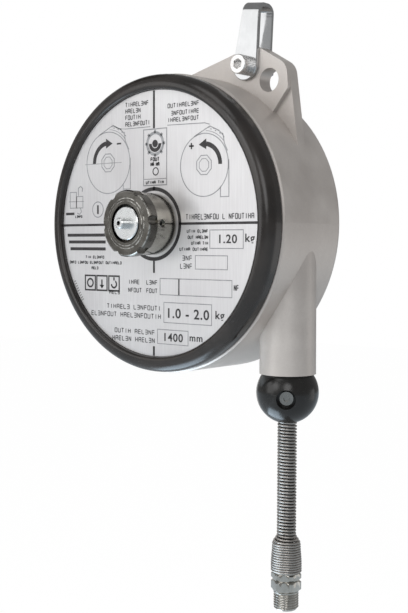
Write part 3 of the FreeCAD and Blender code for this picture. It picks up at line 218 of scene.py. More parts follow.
def rim_finish():
    """Glossy black paint on the cover's rim."""
    f = Finish("black_rim", (0.018, 0.0155, 0.014), 0.22)
    cloud = f.place.noise(60, 3)
    f.tint(cloud, (0.015, 0.013, 0.012), (0.024, 0.02, 0.018))
    f.polish(cloud, 0.2, 0.26)
    f.relief(f.place.noise(420, 2), 0.00004, 0.4)
    return f.material


def label_finish():
    """Silver-white printed sheet with faint vertical brushing and handling marks."""
    f = Finish("label_sheet", (0.57, 0.56, 0.565), 0.3, 0.5)
    brushing = f.place.stretched(1.0, 1.0, 0.03).noise(1600, 2)
    cloud = f.place.noise(25, 3)
    f.tint(brushing * 0.35 + cloud * 0.65, (0.53, 0.515, 0.52), (0.62, 0.61, 0.612))
    f.set("Roughness", cloud * 0.1 + 0.26)
    f.relief(brushing, 0.00001, 0.3)
    return f.material


def ink_finish(name, colour, dark, pale):
    f = Finish(name, colour, 0.42)
    f.tint(f.place.noise(300, 3), dark, pale)
    return f.material


def grey_ink_finish(name, dark, pale):
    """Ink of a plain, slightly bluish grey between two levels."""
    return ink_finish(name, (pale, pale, pale), (dark, dark, dark * 1.03),
                      (pale, pale, pale * 1.02))


def turned_finish(name, dark, light, roughness, depth=0.00001):
    """Metal turned in a lathe: fine rings about the case axis, on the faces and the sides."""
    f = Finish(name, light, roughness, 1.0)
    radius, along = f.from_case()
    rings = ((radius + along) * (2 * math.pi / (RING_PITCH * MM))).sin()
    cloud = f.place.noise(220, 4, 0.6)
    wear_and_painted_highlight = f.place.noise(1500, 2)
    f.tint(cloud * 0.7 + wear_and_painted_highlight * 0.3, dark, light)
    f.polish(cloud, roughness - 0.05, roughness + 0.1, 0.25, 0.75)
    f.relief(rings * 0.5 + wear_and_painted_highlight * 0.4, depth, 0.4)
    return f.material


def knob_finish():
    """Dark nickel, with painted highlights along the front edge and on the steps turned in the
    face.
    """
    f = Finish("turned_nickel", (0.13, 0.12, 0.11), 0.26, 1.0)
    radius, along = f.from_case()
    cloud = f.place.noise(160, 3, 0.5)
    near_front, near_side = (-20.2 * MM, -20.9 * MM), (15.9 * MM, 16.7 * MM)
    edge = along.between(*near_front) * radius.between(*near_side)
    steps = thin_ring(radius, 12.9, 0.3) + thin_ring(radius, 11.5, 0.25)
    steps = steps * along.between(-19.5 * MM, -20.4 * MM)
    # Painted highlight: the front edge and the two step rings are painted bright, broken up by
    # noise.
    wear_and_painted_highlight = (edge + steps) * f.place.noise(500, 3).between(0.3, 0.6)
    plain = cloud.between(0.3, 0.7).choose(rgba(0.095, 0.09, 0.08), rgba(0.15, 0.143, 0.13))
    f.set("Base Color", wear_and_painted_highlight.choose(plain, rgba(0.75, 0.74, 0.71)))
    f.polish(cloud, 0.2, 0.3)
    f.relief((radius * (2 * math.pi / (RING_PITCH * MM))).sin(), 0.000006, 0.5)
    return f.material


def thin_ring(radius, middle, half_width):
    """One at the middle radius, and nothing beyond half a width from it."""
    return (radius - middle * MM).absolute().between(half_width * MM, 0.0)


def plated_finish(name, dark, light, roughness, marks=0.00002):
    """Plated steel with faint scratches and clouding."""
    f = Finish(name, light, roughness, 1.0)
    cloud = f.place.noise(90, 4, 0.6)
    scratches = f.place.stretched(1.0, 1.0, 0.12).noise(1400, 3, 0.6)
    f.tint(cloud * 0.6 + scratches * 0.4, dark, light)
    f.polish(scratches, roughness - 0.05, roughness + 0.08)
    f.relief(scratches + cloud, marks, 0.5)
    return f.material


def knurled_finish():
    """Plated screw head with straight knurling round its side, with painted shade in the knurl's
    grooves and a painted highlight on its crests.
    """
    f = Finish("knurled_steel", (0.55, 0.54, 0.53), 0.24, 1.0)
    low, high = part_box("shackle_screw")
    middle = (low + high) / 2
    x, _, z = f.place.parts()
    across, up = x - middle.x, z - middle.z
    side = distance(across, up).between((HEAD_RADIUS - 0.4) * MM, (HEAD_RADIUS - 0.1) * MM)
    ridges = (up.math("ARCTAN2", across) * KNURLS).sin() * side
    cloud = f.place.noise(260, 3)
    # Painted shade and highlight: the ridges darken the knurl's grooves and lighten its crests in
    # the base colour.
    f.tint(cloud + ridges * 0.25, (0.55, 0.54, 0.53), (0.9, 0.89, 0.88), 0.2, 0.8)
    f.polish(cloud, 0.18, 0.32)
    f.relief(ridges * 0.5 + cloud * 0.3, 0.00012, 0.5)
    return f.material


def rubber_finish(name, colour, roughness):
    f = Finish(name, colour, roughness)
    cloud = f.place.noise(120, 3)
    f.tint(cloud, colour, [part * 1.7 for part in colour], 0.3, 0.75)
    f.polish(cloud, roughness - 0.05, roughness + 0.08)
    f.relief(f.place.noise(1200, 3), 0.00003, 0.4)
    return f.material


def plastic_finish(name, colour, roughness):
    f = Finish(name, colour, roughness)
    f.tint(f.place.noise(80, 3), [part * 0.85 for part in colour], colour)
    f.relief(f.place.noise(900, 3), 0.00003, 0.4)
    return f.material


RING_PITCH = 0.35  # turning marks on the knob and its collar
KNURLS = 44  # round the shackle screw's head
HEAD_RADIUS = 5.0
FINISHES = {
    "casting": casting_finish(),
    "rim_black": rim_finish(),
    "label": label_finish(),
    "ink": ink_finish("label_ink", (0.02, 0.018, 0.019), (0.014, 0.012, 0.013),
                      (0.03, 0.027, 0.028)),
    "fine_ink": grey_ink_finish("label_fine_ink", 0.035, 0.06),
    "grey_ink": grey_ink_finish("label_grey_ink", 0.2, 0.27),
    "nickel": knob_finish(),
    "nickel_face": turned_finish("nickel_face", (0.66, 0.67, 0.67), (0.76, 0.77, 0.77), 0.24,
                                 0.000003),
    "collar_nickel": turned_finish("collar_nickel", (0.30, 0.285, 0.25), (0.40, 0.385, 0.345),
                                   0.12),
    "plated": plated_finish("plated_nickel", (0.42, 0.405, 0.37), (0.6, 0.585, 0.55), 0.16),
    "bright_steel": plated_finish("bright_plated_steel", (0.49, 0.495, 0.5),
                                  (0.56, 0.565, 0.57), 0.1, 0.00001),
    "guard_steel": plated_finish("guard_wire_steel", (0.38, 0.36, 0.335), (0.5, 0.475, 0.45),
                                 0.42),
    # Painted shade: the screw steel is darker than the other plated steel, for the stop screw down
    # in the ball's dark hole.
    "screw_steel": plated_finish("screw_steel", (0.22, 0.22, 0.21), (0.34, 0.34, 0.33), 0.25),
    "turned_steel": plated_finish("spindle_steel", (0.45, 0.45, 0.44), (0.6, 0.6, 0.59), 0.25),
    "spring_steel": plated_finish("spring_strip", (0.16, 0.17, 0.2), (0.28, 0.29, 0.32), 0.3),
    "bronze": plated_finish("bush_bronze", (0.40, 0.25, 0.10), (0.55, 0.36, 0.16), 0.35),
    "knurled": knurled_finish(),
    "rubber": rubber_finish("ball_rubber", (0.007, 0.0066, 0.0062), 0.2),
    "hose_black": rubber_finish("hose_rubber", (0.016, 0.016, 0.016), 0.4),
    "nylon": plastic_finish("bush_nylon", (0.72, 0.71, 0.66), 0.45),
    "drum_plastic": plastic_finish("drum_plastic", (0.05, 0.05, 0.055), 0.5),
    "friction_plastic": plastic_finish("friction_lining", (0.25, 0.15, 0.09), 0.6),
}
# Solids with another finish than their slot's.
OWN_FINISH = {"inlet_nipple": "nickel_face", "knob_collar": "collar_nickel",
              "shackle_screw": "knurled", "spring_guard": "guard_steel",
              "union_nut": "plated", "end_fitting": "plated", "hub_fitting": "plated"}


def paint(item, finish):
    item.data.materials.clear()
    item.data.materials.append(FINISHES[finish])


for row in frame["record"]["subparts"]:
    paint(frame["nodes"][row["node"]], OWN_FINISH.get(row["node"], row["material_slot"]))


# Mesh pieces

SHARP = math.radians(30)  # edges bent by more than this stay sharp


def keep(name, mesh, finish, body, slot, *stands_for):
    """Link a new piece, shade it, and let it ride on its body."""
    item = bpy.data.objects.new(name, mesh)
    bpy.context.scene.collection.objects.link(item)
    paint(item, finish)
    if stands_for:
        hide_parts(*stands_for)
    if body:
        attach(item, body)
    return item


def mesh_from(name, build):
    """A smooth mesh filled by build(bmesh)."""
    mesh = bpy.data.meshes.new(name)
    shape = bmesh.new()
    build(shape)
    bmesh.ops.recalc_face_normals(shape, faces=shape.faces)
    for face in shape.faces:
        face.smooth = True
    for edge in shape.edges:
        if len(edge.link_faces) == 2 and edge.calc_face_angle(0) > SHARP:
            edge.smooth = False
    shape.to_mesh(mesh)
    shape.free()
    return mesh


def grid_faces(shape, rings, closed_along=False):
    """Faces between neighbouring closed rings of points."""
    verts = [[shape.verts.new(point) for point in ring] for ring in rings]
    count = len(verts[0])
    for here, there in zip(verts, verts[1:] + (verts[:1] if closed_along else [])):
        for step in range(count):
            after = (step + 1) % count
            shape.faces.new((here[step], here[after], there[after], there[step]))
    return verts


def on_hose_line(reach, angle, height):
    """The point at this distance and angle round the hose line, at a height from the case axis."""
    return HOSE_LINE + mm(reach * math.cos(angle), reach * math.sin(angle), height)


def revolve(shape, profile, segments):
    """A closed outline of (radius, height), turned about the hose line.

    A radius is a number, or a function of the angle.
    """
    rings = []
    for radius, height in profile:
        angles = [2 * math.pi * step / segments for step in range(segments)]
        rings.append([on_hose_line(radius(angle) if callable(radius) else radius, angle, height)
                      for angle in angles])
    grid_faces(shape, rings, closed_along=True)


def tube_along(shape, points, radius, sides, first_side):
    """A round tube through the points; first_side gives a direction square to its heading."""
    rings = []
    for index, point in enumerate(points):
        before, after = points[max(index - 1, 0)], points[min(index + 1, len(points) - 1)]
        heading = (after - before).normalized()
        first = first_side(heading)
        second = heading.cross(first)
        rings.append([point + (first * math.cos(2 * math.pi * side / sides)
                               + second * math.sin(2 * math.pi * side / sides)) * radius * MM
                      for side in range(sides)])
    verts = grid_faces(shape, rings)
    shape.faces.new(verts[0])
    shape.faces.new(verts[-1])


# Coiled wire guard round the hose

WIRE = 0.6  # half the wire's thickness
WIRE_SIDES = 8
TURN_POINTS = 24
# Down the guard: depth below the case axis, outer radius and pitch.
GUARD = [(95.0, 5.1, 1.65), (160.4, 5.1, 1.65), (165.6, 7.5, 1.28), (176.0, 8.1, 1.24),
         (180.5, 8.1, 1.24)]


def guard_at(depth):
    """Outer radius and pitch of the guard at a depth; its flares start and end smoothly."""
    for (top, radius, pitch), (low, next_radius, next_pitch) in zip(GUARD, GUARD[1:]):
        if depth <= low:
            part = (depth - top) / (low - top)
            part = part * part * (3 - 2 * part) if radius != next_radius else part
            return radius + (next_radius - radius) * part, pitch + (next_pitch - pitch) * part
    return GUARD[-1][1:]


def guard_points():
    points, depth, angle = [], GUARD[0][0] + WIRE, 0.0
    while depth < GUARD[-1][0] - WIRE:
        radius, pitch = guard_at(depth)
        points.append(on_hose_line(radius - WIRE, angle, -depth))
        angle += 2 * math.pi / TURN_POINTS
        depth += pitch / TURN_POINTS
    return points


def build_guard(shape):
    tube_along(shape, guard_points(), WIRE, WIRE_SIDES,
               lambda heading: Vector((heading.y, -heading.x, 0)).normalized())


keep("guard_coil", mesh_from("guard_coil", build_guard), "guard_steel",
     "hose_end", "bright_steel", "spring_guard")


# Union nut and end fitting: heights are from the case axis

HEX_FLAT = 7.0  # half the width across the flats
HEX_TURN = math.radians(-2.3)
HEX_BEVEL = 0.55
THREAD_TOP, THREAD_END = -190.4, -200.0
THREAD_RADIUS, THREAD_DEPTH, THREAD_PITCH = 6.58, 0.55, 1.337
THREAD_LEAD = 1.2  # length of its start and of its tapered end
THREAD_RINGS = 14  # for each turn
NUT_BORE, END_BORE = 3.7, 3.4
HEX_SIDES, NECK_SIDES, THREAD_SIDES = 72, 64, 60  # points round each


def hexagon(angle):
    """Distance from the middle of a hexagon to its side at an angle."""
    return HEX_FLAT / math.cos((angle - HEX_TURN - math.pi / 6) % (math.pi / 3) - math.pi / 6)


def build_hexagon(shape, top, low, bore):
    """A bored hexagon, its corners bevelled to a circle at both ends."""
    revolve(shape, [(bore, top), (HEX_FLAT, top), (hexagon, top - HEX_BEVEL),
                    (hexagon, low + HEX_BEVEL), (HEX_FLAT, low), (bore, low)], HEX_SIDES)


def build_union_nut(shape):
    build_hexagon(shape, -180.8, -184.0, NUT_BORE)
    neck = [(NUT_BORE, -171.0), (6.1, -171.0), (6.6, -171.5), (6.6, -181.2), (NUT_BORE, -181.2)]
    revolve(shape, neck, NECK_SIDES)


def thread(height, angle):
    """Radius of the thread; it fades in at its top and tapers at its end."""
    start = min(1.0, (THREAD_TOP - height) / THREAD_LEAD)
    end = min(1.0, (height - THREAD_END) / THREAD_LEAD)
    phase = (height / THREAD_PITCH - angle / (2 * math.pi)) % 1.0
    groove = min(1.0, max(0.0, 2.6 * abs(phase - 0.5) - 0.12))
    return (THREAD_RADIUS - THREAD_LEAD * (1 - end)
            - THREAD_DEPTH * min(start, end) * groove)


def build_end_fitting(shape):
    build_hexagon(shape, -184.8, -189.8, END_BORE)
    upper_neck = [(1.5, -184.0), (5.6, -184.0), (5.6, -185.0), (1.5, -185.0)]
    lower_neck = [(END_BORE, -189.6), (5.9, -189.6), (5.9, -190.6), (END_BORE, -190.6)]
    for neck in (upper_neck, lower_neck):
        revolve(shape, neck, NECK_SIDES)
    count = int((THREAD_TOP - THREAD_END) / THREAD_PITCH * THREAD_RINGS)
    heights = [THREAD_TOP + (THREAD_END - THREAD_TOP) * step / count for step in range(count + 1)]
    revolve(shape, [(partial(thread, height), height) for height in heights]
            + [(END_BORE, THREAD_END), (END_BORE, THREAD_TOP + 0.2)], THREAD_SIDES)


keep("union_nut_hexagon", mesh_from("union_nut_hexagon", build_union_nut), "plated",
     "hose_end", "nickel", "union_nut")
keep("threaded_fitting", mesh_from("threaded_fitting", build_end_fitting), "plated",
     "hose_end", "nickel", "end_fitting")


# Hose from the drum to the ball

HOSE_SIDES = 28
ARC_STEP = 6  # degrees between the rings over the drum
DROP_STEP = 8  # between the rings down to the mouth
STRETCH_TOP, STRETCH_END = 64, 77.1  # depths between which the rings are close
STRETCH_RINGS = 14


def hose_run_points():
    """Over the top of the drum and straight down to the ball."""
    points = []
    for angle in range(180, 0, -ARC_STEP):
        turn = math.radians(angle)
        points.append(CASE + mm(WINDING_RADIUS * math.cos(turn), LAST_LANE,
                                WINDING_RADIUS * math.sin(turn)))
    points += [HOSE_LINE + mm(0, 0, -depth) for depth in range(0, STRETCH_TOP, DROP_STEP)]
    spacing = (STRETCH_END - STRETCH_TOP) / STRETCH_RINGS
    points += [HOSE_LINE + mm(0, 0, -STRETCH_TOP - spacing * step)
               for step in range(STRETCH_RINGS + 1)]
    return points


def build_hose_run(shape):
    tube_along(shape, hose_run_points(), HOSE_RADIUS, HOSE_SIDES,
               lambda heading: Vector((0, 1, 0)))


hose = keep("hose_to_ball", mesh_from("hose_to_ball", build_hose_run), "hose_black", None,
            "hose_black", "hose_run")
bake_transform(hose)


# Label print: flat ink on the label's face, drawn from the case axis as (across, up)

INK_LIFT = 0.00004  # of its middle off the label's face
INK_THICKNESS = 0.00003
DIGIT_SIZE = 1.42  # type size for digits of height 1
DIGIT_WIDTH, DIGIT_SPACING = 1.12, 1.12  # against the plain type
DIGIT_WEIGHT = 0.03  # added all round, against the height
MARK_INSET, MARK_WIDTH = 0.12, 0.62  # against the pitch of the row
# Strokes of the letter-like marks, as in Print.mark.
MARKS = ("lbtm", "lrm", "ct", "lrtb", "lrd", "lb", "lrtm", "c", "lrb", "ltm", "rtmb")


class Print:
    """Ink shapes in one thin mesh."""

    def __init__(self):
        self.shape = bmesh.new()

    def corner(self, x, z):
        return self.shape.verts.new((CASE.x + x * MM, CASE.y - INK_LIFT, CASE.z + z * MM))

    def patch(self, points):
        self.shape.faces.new([self.corner(x, z) for x, z in points])

    def bar(self, x0, z0, x1, z1, width):
        heading = math.atan2(z1 - z0, x1 - x0)
        dx, dz = -math.sin(heading) * width / 2, math.cos(heading) * width / 2
        self.patch([(x0 + dx, z0 + dz), (x0 - dx, z0 - dz), (x1 - dx, z1 - dz),
                    (x1 + dx, z1 + dz)])

    def path(self, points, width, closed=False):
        """A line of even width through the points, mitred at its corners."""
        count = len(points)
        sides = []
        for index, (x, z) in enumerate(points):
            before = points[index - 1] if index or closed else None
            after = points[(index + 1) % count] if index < count - 1 or closed else None
            first = Vector((x - before[0], z - before[1])).normalized() if before else None
            second = Vector((after[0] - x, after[1] - z)).normalized() if after else None
            first, second = first or second, second or first
            normal = (Vector((-first.y, first.x)) + Vector((-second.y, second.x))).normalized()
            reach = width / 2 / max(0.5, normal.dot(Vector((-first.y, first.x))))
            sides.append(((x + normal.x * reach, z + normal.y * reach),
                          (x - normal.x * reach, z - normal.y * reach)))
        for here, there in zip(sides, sides[1:] + (sides[:1] if closed else [])):
            self.patch([here[0], here[1], there[1], there[0]])

    def circle(self, x, z, radius, width):
        self.arc(x, z, radius, width, 0, 360)

    def arc(self, x, z, radius, width, start, end):
        """Part of a ring between two angles in degrees."""
        steps = max(8, int(abs(end - start) / 6))
        angles = [math.radians(start + (end - start) * step / steps)
                  for step in range(steps + 1)]
        inner, outer = radius - width / 2, radius + width / 2
        for here, there in zip(angles, angles[1:]):
            self.patch([(x + reach * math.cos(angle), z + reach * math.sin(angle))
                        for reach, angle in ((outer, here), (inner, here),
                                             (inner, there), (outer, there))])

    def frame(self, x0, z0, x1, z1, width):
        self.path([(x0, z0), (x1, z0), (x1, z1), (x0, z1)], width, closed=True)

    def mark(self, x, z, wide, tall, strokes, weight):
        """One letter-like mark: l, c, r are uprights, t, m, b levels and d a diagonal."""
        right, middle, top = x + wide, z + tall / 2, z + tall
        lines = {"l": (x, z, x, top), "r": (right, z, right, top), "d": (x, top, right, z),
                 "c": (x + wide / 2, z, x + wide / 2, top), "t": (x, top, right, top),
                 "m": (x, middle, right, middle), "b": (x, z, right, z)}
        for stroke in strokes:
            self.bar(*lines[stroke], weight)

    def row(self, x0, x1, foot, tall, lengths, weight=0.46):
        """A row of small print from x0 to x1 that spells nothing, in words of so many marks."""
        pitch = (x1 - x0) / (sum(lengths) + len(lengths) - 1)
        x = x0
        for count in lengths:
            for place in range(count):
                strokes = MARKS[(place * 5 + count * 3 + int(abs(x0 + foot))) % len(MARKS)]
                self.mark(x + pitch * MARK_INSET, foot, pitch * MARK_WIDTH, tall, strokes,
                          weight)
                x += pitch
            x += pitch

    def digits(self, x, z, text, height):
        """Plain digits, centred at x, with their foot at z."""
        curve = bpy.data.curves.new("digits", "FONT")
        curve.body = text
        curve.align_x = "CENTER"
        curve.size = height * DIGIT_SIZE
        curve.offset = height * DIGIT_WEIGHT
        curve.space_character = DIGIT_SPACING
        item = bpy.data.objects.new("digits", curve)
        mesh = bpy.data.meshes.new_from_object(item)
        corners = [self.corner(x + vert.co.x * DIGIT_WIDTH, z + vert.co.y)
                   for vert in mesh.vertices]
        for face in mesh.polygons:
            self.shape.faces.new([corners[index] for index in face.vertices])
        bpy.data.objects.remove(item)
        bpy.data.curves.remove(curve)
        bpy.data.meshes.remove(mesh)

    def done(self, name, finish):
        """Turn the faces to the front and give them the thickness of ink."""
        for face in self.shape.faces:
            face.normal_update()
            if face.normal.y > 0:
                face.normal_flip()
        mesh = bpy.data.meshes.new(name)
        self.shape.to_mesh(mesh)
        self.shape.free()
        item = keep(name, mesh, finish, "housing", "label")
        thick = item.modifiers.new("ink_thickness", "SOLIDIFY")
        thick.thickness = INK_THICKNESS
        thick.offset = -1


LABEL_EDGE, COLLAR_EDGE = 69.6, 17.5  # where the long lines end, from the case axis
ARROW_RADIUS = 10.6


def reel_sign(lines, bold, x, z, radius, side, neck):
    """Outline of a small balancer with a turning arrow, in two inks.

    The arrow points to the right where side is 1 and to the left where it is -1, and the
    neck ends so far below the middle.
    """
    lines.circle(x, z, radius, 0.55)
    right = x + radius
    lines.path([(right + 0.3, z + 2), (right + 0.4, z - neck), (right - 5.0, z - neck),
                (right - 5.0, z - radius + 4.6)], 0.5)
    lug = [(x - 6.5, z + radius - 1.2), (x + 3.8, z + radius + 3.4), (x + 9.6, z + radius + 0.9),
           (x + 12.4, z + radius - 1.6), (x + 13.2, z + radius - 5.6), (right - 0.6, z + 6.4)]
    lines.path(lug, 0.5)
    lines.arc(x, z, radius + 1.3, 0.35, 42, 86)
    for angle in range(46, 86, 5):
        reach = radius + 1.6 + (1.4 if angle % 2 else 0.7)
        lines.arc(x + 0.6, z, reach, 0.5, angle, angle + 3)
    for reach, width in ((5.2, 0.55), (3.4, 0.45)):
        corners = [(x + reach * math.cos(math.radians(22.5 + 45 * step)),
                    z + reach * math.sin(math.radians(22.5 + 45 * step))) for step in range(8)]
        lines.path(corners, width, closed=True)
    start, end = (180, 98) if side > 0 else (0, 82)
    bold.arc(x, z, ARROW_RADIUS, 2.4, start, end)
    tip = math.radians(end)
    head_x, head_z = x + ARROW_RADIUS * math.cos(tip), z + ARROW_RADIUS * math.sin(tip)
    bold.patch([(head_x, head_z + 2.7), (head_x, head_z - 2.7),
                (head_x + 5.0 * side, head_z - 0.2)])
    sign_x = x + 8.4 * side
    bold.bar(sign_x - 1.6, z + 9.9, sign_x + 1.6, z + 9.9, 0.9)
    if side < 0:
        bold.bar(sign_x, z + 8.3, sign_x, z + 11.5, 0.9)


def draw_ray(ink, x, z, degrees, start, end, width):
    """A bar on a line from the point (x, z), between two distances from it."""
    across, up = math.cos(math.radians(degrees)), math.sin(math.radians(degrees))
    ink.bar(x + start * across, z + start * up, x + end * across, z + end * up, width)


def draw_cross(bold):
    """Lines that quarter the label, and the ring round the collar."""
    for start, end in ((LABEL_EDGE, 50.0), (19.6, COLLAR_EDGE), (-19.4, -25.7),
                       (-64.5, -LABEL_EDGE)):
        bold.bar(0.2, start, 0.2, end, 1.4)
    for start, end in ((-LABEL_EDGE, -COLLAR_EDGE), (COLLAR_EDGE, LABEL_EDGE)):
        bold.bar(start, 0, end, 0, 1.3)
    bold.circle(0, 0, 18.4, 2.0)


def draw_panel(lines, bold):
    """Framed field over the knob: a plain cog, a small ring and print that spells nothing."""
    lines.frame(-7.3, 20.3, 9.2, 49.6, 0.6)
    x, z, ring = 1.0, 42.0, 5.6
    lines.circle(x, z, ring, 1.6)
    for step in range(8):
        draw_ray(lines, x, z, 45 * step, ring, 7.2, 1.4)
    bold.arc(x, z, 3.4, 2.0, 180, 360)
    bold.circle(x, z, 1.0, 1.9)
    bold.row(-2.2, 4.2, 33.0, 1.7, (4,), 0.6)
    bold.row(-2.2, 4.2, 30.4, 1.7, (2, 2), 0.6)
    bold.circle(1.4, 27.5, 1.9, 0.6)
    lines.bar(-7.0, 23.6, 8.9, 23.6, 0.4)
    bold.row(-5.6, 7.4, 21.2, 1.3, (5, 3), 0.5)


def draw_boxes(lines, bold):
    """Framed fields, with plain numbers and their units."""
    for left, low, right, high in ((38.6, -12.6, 60.0, -3.4), (29.0, -23.2, 50.1, -16.3),
                                   (4.6, -37.0, 53.0, -28.5), (7.3, -51.5, 39.9, -41.0),
                                   (2.8, -62.8, 24.2, -55.3)):
        lines.frame(left, low, right, high, 0.5)
    bold.bar(17.8, -28.4, 17.8, -37.0, 0.9)
    for x, foot, text, tall in ((49.8, -9.9, "1.20", 4.2), (64.0, -9.3, "kg", 4.0),
                                (23.6, -48.8, "1.0 - 2.0", 4.9), (45.2, -48.0, "kg", 4.0),
                                (13.6, -61.1, "1400", 4.1), (29.6, -60.2, "mm", 3.6)):
        bold.digits(x, foot, text, tall)
    bold.row(54.2, 57.6, -33.4, 2.6, (2,), 0.5)


# Rows of small print: from, to, foot, height and the words' lengths.
ROWS = [
    # over the left reel
    (-20.8, -3.4, 62.6, 2.1, (9,)), (-20.8, -9.2, 59.2, 2.1, (6,)),
    (-20.8, -9.2, 55.8, 2.1, (6,)), (-20.8, -2.4, 52.3, 2.1, (10,)),
    # over the right reel
    (9.8, 31.5, 59.7, 2.0, (11,)), (12.2, 31.5, 55.8, 2.0, (10,)),
    (9.8, 31.5, 52.4, 2.0, (11,)),
    # left of the two upper boxes
    (23.2, 37.6, -4.6, 1.4, (4, 5)), (23.8, 37.6, -7.7, 1.4, (3, 6)),
    (26.2, 37.6, -10.7, 1.4, (5, 3)), (18.2, 37.6, -13.8, 1.4, (5, 7)),
    (20.0, 27.2, -18.8, 2.3, (3,)), (18.6, 27.2, -23.0, 2.4, (4,)),
    # left of the three lower boxes
    (-18.8, -10.0, -31.8, 2.1, (4,)), (-5.4, 3.0, -31.8, 2.1, (4,)),
    (-18.8, -8.4, -36.2, 2.1, (5,)), (-5.4, 3.0, -36.2, 2.1, (4,)),
    (-35.2, 5.6, -45.4, 2.2, (7, 8)), (-47.4, 5.6, -49.8, 2.3, (8, 12)),
    (-29.2, 1.2, -58.4, 2.2, (5, 6)), (-31.0, 1.2, -62.7, 2.3, (6, 6)),
    # under the stripes, and under the pictures
    (-52.0, -37.0, -18.4, 1.3, (3, 6)), (-65.0, -23.6, -21.4, 1.3, (4, 6, 8, 9)),
    (-47.2, -41.6, -24.4, 1.3, (4,)), (-60.2, -54.4, 4.2, 1.2, (5,)),
    (-33.4, -24.8, -37.6, 1.7, (4,)),
    # on the middle line
    (22.4, 67.0, 2.1, 2.5, (11, 1, 8), 0.5),
]


def draw_rows(fine):
    """The small print, and a row of ticks along the lower left edge."""
    for row in ROWS:
        fine.row(*row)
    for step in range(9):
        draw_ray(fine, 0, 0, 207.5 + 1.25 * step, 67.6, 68.9, 0.45)


def draw_pictures(lines, bold):
    """Plain pictures at the left: hooks on a grid, a ring with a bar, stripes and three boxes."""
    lines.frame(-64.4, 9.6, -59.2, 18.4, 0.5)
    lines.frame(-59.2, 9.6, -54.0, 16.0, 0.5)
    lines.path([(-57.6, 16.4), (-57.6, 20.6), (-55.8, 21.6), (-54.2, 20.4), (-54.6, 18.6)], 0.6)
    lines.bar(-65.4, 13.2, -53.2, 13.2, 0.4)
    lines.path([(-56.0, 9.6), (-55.2, 7.4), (-56.8, 6.0), (-58.6, 6.8)], 0.6)
    bold.bar(-67.8, 6.4, -61.0, 6.4, 1.4)
    lines.circle(-42.0, 8.4, 4.2, 0.6)
    bold.bar(-42.0, 6.0, -42.0, 10.8, 1.3)
    for level in (-5.6, -9.4, -13.2):
        bold.bar(-68.3 - level * 0.3, level, -36.0, level, 1.7)
    for left in (-52.2, -43.0, -33.6):
        bold.frame(left, -36.0, left + 8.0, -28.0, 0.9)
    bold.circle(-48.2, -32.0, 2.2, 1.0)
    bold.bar(-39.0, -30.0, -39.0, -34.2, 1.0)
    bold.patch([(-40.8, -33.0), (-37.2, -33.0), (-39.0, -35.0)])
    bold.arc(-29.6, -32.4, 1.9, 1.0, -180, 60)
    bold.bar(-29.6, -30.4, -29.6, -28.6, 1.0)


def draw_label():
    """All the print, in three inks."""
    bold, fine, lines = Print(), Print(), Print()
    draw_cross(bold)
    draw_panel(lines, bold)
    draw_boxes(lines, bold)
    draw_rows(fine)
    draw_pictures(lines, bold)
    reel_sign(lines, bold, -34.0, 33.6, 16.6, 1, 14.6)
    reel_sign(lines, bold, 34.6, 29.3, 15.8, -1, 16.2)
    lines.bar(-52.0, 33.4, -23.6, 33.4, 0.35)
    lines.path([(-20.8, 51.0), (-2.4, 51.0)], 0.5)
    lines.path([(-20.8, 51.0), (-26.0, 51.6), (-30.2, 53.4)], 0.4)
    lines.path([(9.6, 50.9), (35.0, 50.3), (38.2, 49.4)], 0.5)
    bold.done("label_ink_bold", "ink")
    fine.done("label_ink_fine", "fine_ink")
    lines.done("label_ink_lines", "grey_ink")


draw_label()


# Camera, light and floor

CAMERA_TURN, CAMERA_TILT, CAMERA_ROLL = (math.radians(angle) for angle in (43.049, -1.147, 0.163))
CAMERA_DISTANCE = 0.55956  # of the camera from the label's centre, in metres
AIM_RIGHT, AIM_DOWN = 0.026664, 0.043491  # what it looks at, beside and below that centre
SENSOR, LENS = 36, 62.210701


def aim_camera():
    """The camera looks a little up at the label from its right."""
    turn, tilt = CAMERA_TURN, CAMERA_TILT
    back = Vector((math.sin(turn) * math.cos(tilt), -math.cos(turn) * math.cos(tilt),
                   math.sin(tilt)))
    right = Vector((math.cos(turn), math.sin(turn), 0))
    target = right * AIM_RIGHT - right.cross(-back) * AIM_DOWN
    position = back * CAMERA_DISTANCE
    forward = (target - position).normalized()
    side = forward.cross(Vector((0, 0, 1))).normalized()
    over = side.cross(forward)
    side, over = (side * math.cos(CAMERA_ROLL) + over * math.sin(CAMERA_ROLL),
                  over * math.cos(CAMERA_ROLL) - side * math.sin(CAMERA_ROLL))
    camera = bpy.data.objects.new("camera", bpy.data.cameras.new("camera"))
    camera.data.lens = LENS
    camera.data.sensor_width = SENSOR
    camera.data.clip_start, camera.data.clip_end = 0.01, 50
    rows = Matrix((side, over, -forward)).transposed()
    camera.matrix_world = Matrix.Translation(CASE + position) @ rows.to_4x4()
    bpy.context.scene.collection.objects.link(camera)
    bpy.context.scene.camera = camera


def aim(item, place, target):
    """Put a lamp or a card at a place, with its face to the target."""
    item.location = place
    item.rotation_mode = "QUATERNION"
    item.rotation_quaternion = (target - place).to_track_quat("-Z", "Y")


def add_lamp(name, place, target, size, power, colour, mirrored):
    """A round lamp; power is in watts, and mirrored says whether reflections show it."""
    lamp = bpy.data.objects.new(name, bpy.data.lights.new(name, "AREA"))
    lamp.data.shape = "DISK"
    lamp.data.size = size
    lamp.data.energy = power
    lamp.data.color = colour
    lamp.visible_glossy = mirrored
    aim(lamp, place, target)
    bpy.context.scene.collection.objects.link(lamp)


def bare_tree(owner):
    """The emptied node tree of a material or the world."""
    owner.use_nodes = True
    owner.node_tree.nodes.clear()
    return owner.node_tree


def ray_kinds(tree):
    """Two values: one where the camera looks straight on, and one in reflections."""
    return [new_node(tree, "LightPath", output=kind) for kind in ("Is Camera Ray",
                                                                  "Is Glossy Ray")]


